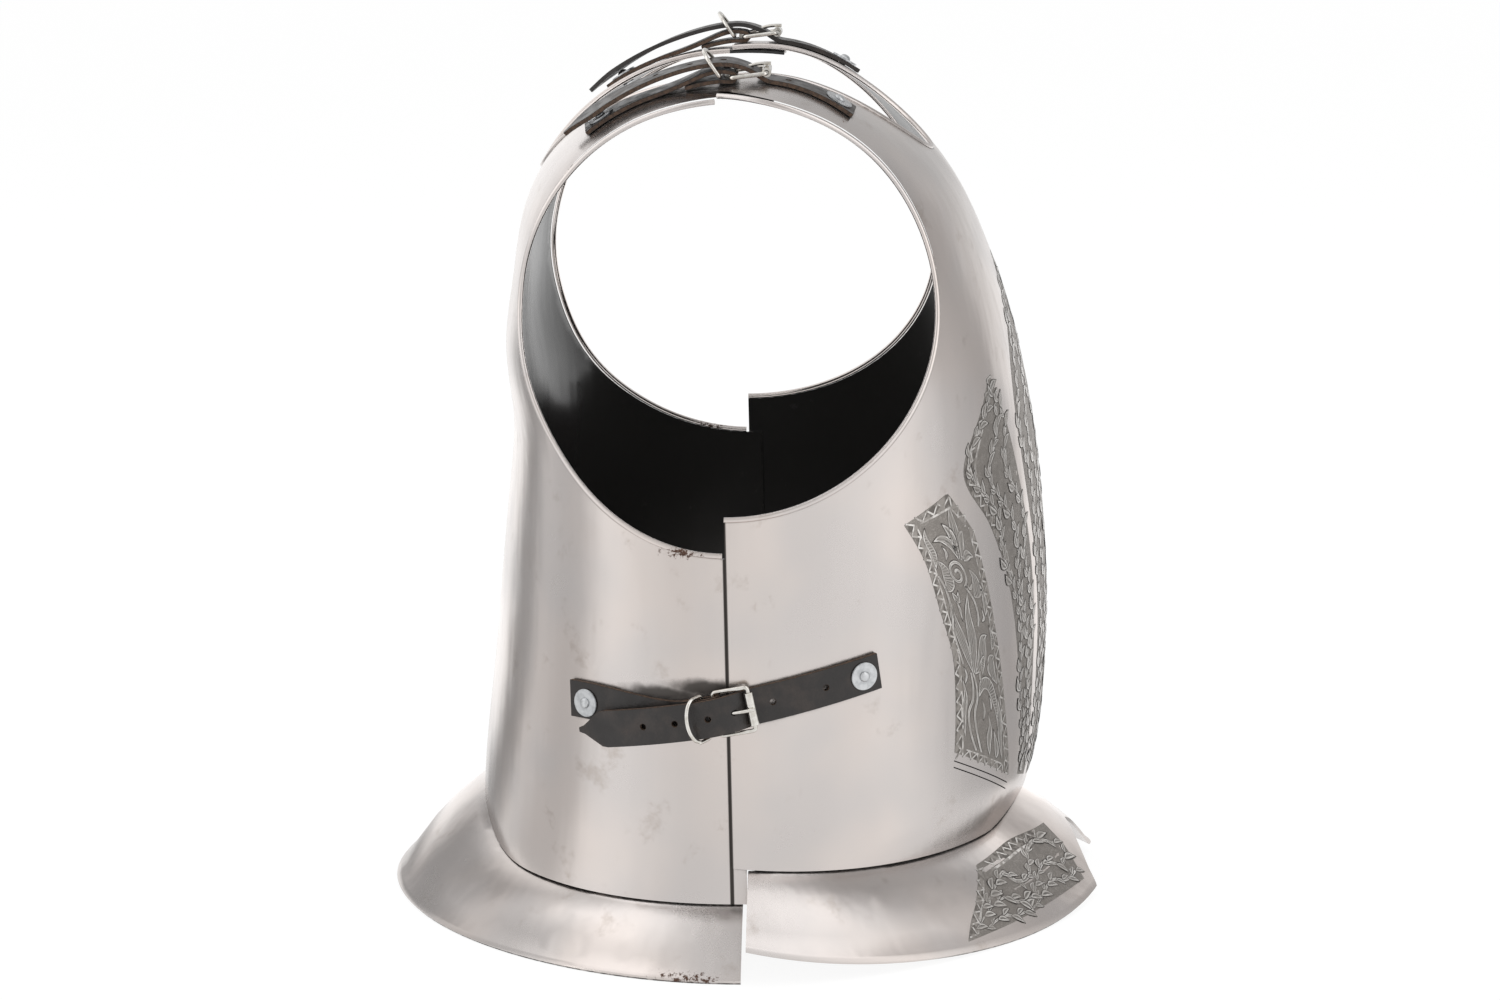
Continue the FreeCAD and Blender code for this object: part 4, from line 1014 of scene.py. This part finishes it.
# Two thin engraved arcs under each outer panel, as drops below its foot in mm
ARC_DROPS = (4.5, 8.0)
ARC_STEPS = 24
ARC_HALF_WIDTH = 0.3
skin = Skin()
left_foot, right_foot = (edge[0] for edge in PANELS["outer"][:2])
for hand in (1, -1):
    for drop in ARC_DROPS:
        rail = []
        for step in range(ARC_STEPS + 1):
            angle, level = (
                a + (b - a) * step / ARC_STEPS for a, b in zip(left_foot, right_foot)
            )
            spots = [
                place_on(breast_chart, hand * angle, level - drop + aside, GROUND_LIFT)
                for aside in (-ARC_HALF_WIDTH, ARC_HALF_WIDTH)
            ]
            rail.append([skin.point(spot, 0, 0, 0) for spot in spots])
        for a, b in zip(rail, rail[1:]):
            add_face(skin, (b[0], b[1], a[1], a[0]), -hand, BORDER_SHADE)
skin.build("engraved_arcs")

# %% [markdown]
# ## Leaves and zigzags that follow a line
# The small leaves along the stems and the zigzag of the borders repeat hundreds of times, so
# Geometry Nodes sets them out: one blade is copied along every line, each copy laid on the
# plate by the line's own normal and leaned to alternate sides.


# %% The node tree for blades along lines
def blades_tree():
    """Geometry nodes: copies of a blade along lines, leaning to alternate sides."""
    tree = bpy.data.node_groups.new("blades_along_lines", "GeometryNodeTree")
    for name, kind in (
        ("Geometry", "Geometry"), ("Blade", "Object"), ("Pitch", "Float"), ("Lean", "Float"),
        ("Variation", "Float"), ("Material", "Material"),
    ):
        tree.interface.new_socket(name, in_out="INPUT", socket_type="NodeSocket" + kind)
    tree.interface.new_socket("Geometry", in_out="OUTPUT", socket_type="NodeSocketGeometry")
    given = tree.nodes.new("NodeGroupInput").outputs
    curve = add(tree, "GeometryNodeMeshToCurve", Mesh=given["Geometry"])
    even = add(
        tree, "GeometryNodeResampleCurve", {"mode": "LENGTH"}, Curve=curve.outputs["Curve"],
        Length=given["Pitch"],
    )
    normal = add(
        tree, "GeometryNodeInputNamedAttribute", {"data_type": "FLOAT_VECTOR"}, Name="outward"
    )
    upright = add(
        tree, "FunctionNodeAlignRotationToVector", {"axis": "Z"},
        Vector=normal.outputs["Attribute"],
    )
    tangent = tree.nodes.new("GeometryNodeInputTangent")
    turned = add(
        tree, "FunctionNodeAlignRotationToVector", {"axis": "X", "pivot_axis": "Z"},
        Rotation=upright.outputs["Rotation"], Vector=tangent.outputs["Tangent"],
    )
    index = tree.nodes.new("GeometryNodeInputIndex")
    odd = maths(tree, "MODULO", index.outputs[0], 2.0)
    side = maths(tree, "SUBTRACT", maths(tree, "MULTIPLY", odd, 2.0), 1.0)
    about = add(tree, "ShaderNodeCombineXYZ", Z=maths(tree, "MULTIPLY", side, given["Lean"]))
    turn = add(tree, "FunctionNodeEulerToRotation")
    feed_in_order(tree, turn, about.outputs)
    spin = add(
        tree, "FunctionNodeRotateRotation", {"rotation_space": "LOCAL"},
        Rotation=turned.outputs["Rotation"], Rotate_By=turn.outputs[0],
    )
    scale = add(tree, "FunctionNodeRandomValue", {"data_type": "FLOAT"}, Seed=SPREAD_SEED)
    low, high = [s for s in scale.inputs if s.name in ("Min", "Max") and s.type == "VALUE"]
    for socket, sign in ((low, "SUBTRACT"), (high, "ADD")):
        connect(tree, socket, maths(tree, sign, 1.0, given["Variation"]))
    blade = add(tree, "GeometryNodeObjectInfo", Object=given["Blade"])
    copies = add(
        tree, "GeometryNodeInstanceOnPoints", Points=even.outputs["Curve"],
        Instance=blade.outputs["Geometry"], Rotation=spin.outputs["Rotation"],
        Scale=next(s for s in scale.outputs if s.type == "VALUE"),
    )
    real = add(tree, "GeometryNodeRealizeInstances", Geometry=copies.outputs["Instances"])
    coat = add(
        tree, "GeometryNodeSetMaterial", Geometry=real.outputs["Geometry"],
        Material=given["Material"],
    )
    add(tree, "NodeGroupOutput", Geometry=coat.outputs["Geometry"])
    return tree


BLADE_STEP = 0.7
GUIDE_STEP = 2.0
SPREAD_SEED = 7


def blade_mesh(name, points, widths):
    """A flat blade along X in mm, with the numbers that the etched shader reads."""
    mesh = bpy.data.meshes.new(name)
    line = smooth_through(points, BLADE_STEP)
    spots, numbers, faces = [], {"along": [], "aside": [], "half": []}, []
    for number, (x, y) in enumerate(line):
        half = half_at(widths, number / (len(line) - 1))
        for side in (-1, 0, 1):
            spots.append(Vector((x, y + side * half, 0)) * MM)
            for key, value in (("along", x), ("aside", abs(side) * half), ("half", half)):
                numbers[key].append(value)
    for row in range(len(line) - 1):
        for k in (0, 1):
            start = row * 3 + k
            faces.append((start, start + 3, start + 4, start + 1))
    mesh.from_pydata(spots, [], faces)
    keep_numbers(mesh, numbers)
    return linked(name, mesh)


blades = blades_tree()
print("node tree", blades.name, "with", len(blades.nodes), "nodes")


def set_out(name, blade, paths, material, pitch, lean, variation, lift):
    """Copies of a blade along paths on the panels, as one plain mesh."""
    points, normals, edges = [], [], []
    for panel, hand, line in paths:
        first = len(points)
        for x, y in smooth_through(line, GUIDE_STEP):
            spot = panel_point(panel, x, y, lift, hand)
            if spot is None:
                continue
            points.append(spot[0])
            normals.append(spot[1])
        edges += [(k, k + 1) for k in range(first, len(points) - 1)]
    mesh = bpy.data.meshes.new(name + "_lines")
    mesh.from_pydata(points, edges, [])
    layer = mesh.attributes.new("outward", "FLOAT_VECTOR", "POINT")
    layer.data.foreach_set("vector", [c for normal in normals for c in normal])
    guide = linked(name + "_lines", mesh)
    maker = guide.modifiers.new("blades", "NODES")
    maker.node_group = blades
    settings = {
        "Blade": blade, "Pitch": pitch * MM, "Lean": math.radians(lean),
        "Variation": variation, "Material": material,
    }
    for item in blades.interface.items_tree:
        if item.in_out == "INPUT" and item.name in settings:
            maker[item.identifier] = settings[item.name]
    guide.update_tag()
    graph = bpy.context.evaluated_depsgraph_get()
    plain = bpy.data.meshes.new_from_object(guide.evaluated_get(graph))
    bpy.data.objects.remove(guide)
    for face in plain.polygons:
        face.use_smooth = True
    piece = linked(name, plain)
    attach(piece, "breast")
    print(name, len(plain.polygons), "faces")


# %% Set out the leaves and the borders
LEAF_PITCH, LEAF_LEAN, LEAF_SPREAD = 5.4, 26, 0.25
BAR_PITCH, BAR_LEAN, BAR_SPREAD = 3.9, 46, 0.05
leaf = blade_mesh("leaf_blade", [(0, 0), (3, 0.8), (6, 0.6), (9.2, -1)], (0.6, 3.8, 3.6, 0.3))
bar = blade_mesh("zigzag_bar", [(-3.1, 0), (0, 0), (3.1, 0)], (0.95, 0.95, 0.95))
set_out(
    "etched_leaves", leaf, stem_paths, lined_metal, LEAF_PITCH, LEAF_LEAN, LEAF_SPREAD, LEAF_LIFT
)
set_out(
    "etched_zigzag", bar, zigzag_paths, border_line_metal, BAR_PITCH, BAR_LEAN, BAR_SPREAD,
    LEAF_LIFT,
)
for blade in (leaf, bar):
    bpy.data.objects.remove(blade)

# %% [markdown]
# ## Plated fittings
# The buckles, keepers and prongs are bent wire with bright nickel plating, and the rivets with
# their washers are duller zinc.

# %% Fittings
NICKEL = (0.74, 0.72, 0.68)
ZINC = (0.60, 0.61, 0.62)
NICKEL_DULL = (0.60, 0.57, 0.52)
ZINC_DULL = (0.44, 0.45, 0.46)
PLATING_DEPTH = 0.00004
WASHER_BEND = math.radians(60)
WASHER_ROUND = 0.25 * MM


def plated(name, bright, dull, low_rough, high_rough):
    """A thin plating, cloudy where it was touched."""
    material, tree, shader, place = finish_material(name)
    cloud = between(tree, noise(tree, place, 300.0, 4.0, 0.6), 0.35, 0.70)
    feed(
        tree, shader, Base_Color=mix_colour(tree, cloud, bright, dull), Metallic=1.0,
        Roughness=between(tree, noise(tree, place, 700.0), *NOISE_SPAN, low_rough, high_rough),
        Normal=bump(tree, noise(tree, place, 900.0), PLATING_DEPTH, 0.4),
    )
    return material


nickel = plated("nickel_wire", NICKEL, NICKEL_DULL, 0.10, 0.22)
zinc = plated("zinc_washer", ZINC, ZINC_DULL, 0.28, 0.45)

owners = {
    node: body
    for body, nodes in frame["record"]["behaviour"]["bodies"].items()
    for node in nodes
}
for node in sorted(frame["nodes"]):
    owner = owners[node]
    work = merged_copy(node)
    if "buckle" in node or "keeper" in node:
        show(work, "_plated", nickel, owner, "buckle_plating", 50, node)
    elif "washer" in node:
        sharp = [edge for edge in work.edges if edge.calc_face_angle(0.0) > WASHER_BEND]
        bmesh.ops.bevel(work, geom=sharp, offset=WASHER_ROUND, segments=2, affect="EDGES")
        show(work, "_zinc", zinc, owner, "washer_metal", 50, node)
    elif node.endswith(("rivet_right", "rivet_left")):
        show(work, "_zinc", zinc, owner, "rivet_steel", 50, node)

# %% [markdown]
# ## Leather
# The straps are cut from thick dark leather: a nearly black grain side, and brown where the
# knife or punch went through. The CAD straps are plain ribbons with square corners, so each copy
# has its edges rounded, and every face of a cut or hole is given the brown material.

# %% Leather finishes
LEATHER = (0.016, 0.013, 0.012)
LEATHER_WORN = (0.042, 0.031, 0.026)
CUT_EDGE = (0.100, 0.058, 0.035)
CUT_EDGE_DARK = (0.040, 0.025, 0.017)
PORE_DEPTH, CREASE_DEPTH, FIBRE_DEPTH = 0.00012, 0.0003, 0.0002

leather, tree, shader, place = finish_material("dark_leather")
wear = between(tree, noise(tree, place, 60.0, 5.0, 0.6), 0.45, 0.75)
pores = add(tree, "ShaderNodeTexVoronoi", {"feature": "F1"}, Vector=place, Scale=900.0)
grain = bump(tree, pores.outputs["Distance"], PORE_DEPTH, 0.5)
feed(
    tree, shader, Base_Color=mix_colour(tree, wear, LEATHER, LEATHER_WORN),
    Roughness=between(tree, noise(tree, place, 150.0), *NOISE_SPAN, 0.30, 0.50),
    Normal=bump(tree, noise(tree, place, 220.0, 4.0), CREASE_DEPTH, 0.4, grain),
)
cut_edge, tree, shader, place = finish_material("cut_leather_edge")
fibre = noise(tree, place, 500.0, 4.0, 0.7)
brown = mix_colour(tree, between(tree, fibre, 0.35, 0.65), CUT_EDGE, CUT_EDGE_DARK)
feed(
    tree, shader, Base_Color=brown, Roughness=0.75, Normal=bump(tree, fibre, FIBRE_DEPTH, 0.6)
)
print("leather finishes", leather.name, "and", cut_edge.name)

# %% Straps
STRAP_BEND = math.radians(50)
EDGE_ROUND = 0.35 * MM


def regions(work):
    """Groups of faces that join without a sharp bend, largest first."""
    left = set(work.faces)
    groups = []
    while left:
        seed = left.pop()
        group = [seed]
        stack = [seed]
        while stack:
            face = stack.pop()
            for edge in face.edges:
                if len(edge.link_faces) != 2 or edge.calc_face_angle(0.0) > STRAP_BEND:
                    continue
                for other in edge.link_faces:
                    if other in left:
                        left.remove(other)
                        group.append(other)
                        stack.append(other)
        groups.append(group)
    return sorted(groups, key=lambda group: -sum(face.calc_area() for face in group))


def leather_strap(node):
    """A strap with rounded edges, dark on its two wide sides and brown where it was cut."""
    work = merged_copy(node)
    for rank, group in enumerate(regions(work)):
        for face in group:
            face.material_index = 0 if rank < 2 else 1
    sharp = [
        edge
        for edge in work.edges
        if len(edge.link_faces) == 2 and edge.calc_face_angle(0.0) > STRAP_BEND
    ]
    bmesh.ops.bevel(
        work, geom=sharp, offset=EDGE_ROUND, segments=2, affect="EDGES", clamp_overlap=True,
        material=-1,
    )
    return work


for node in sorted(frame["nodes"]):
    if not node.endswith(("billet_right", "billet_left", "chape_right", "chape_left")):
        continue
    shoulder = node.startswith("shoulder")
    body = "breast" if "billet" in node else "back"
    strap = show(
        leather_strap(node), "_leather", [leather, cut_edge], None if shoulder else body,
        "strap_leather", 40, node,
    )
    if shoulder:
        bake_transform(strap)
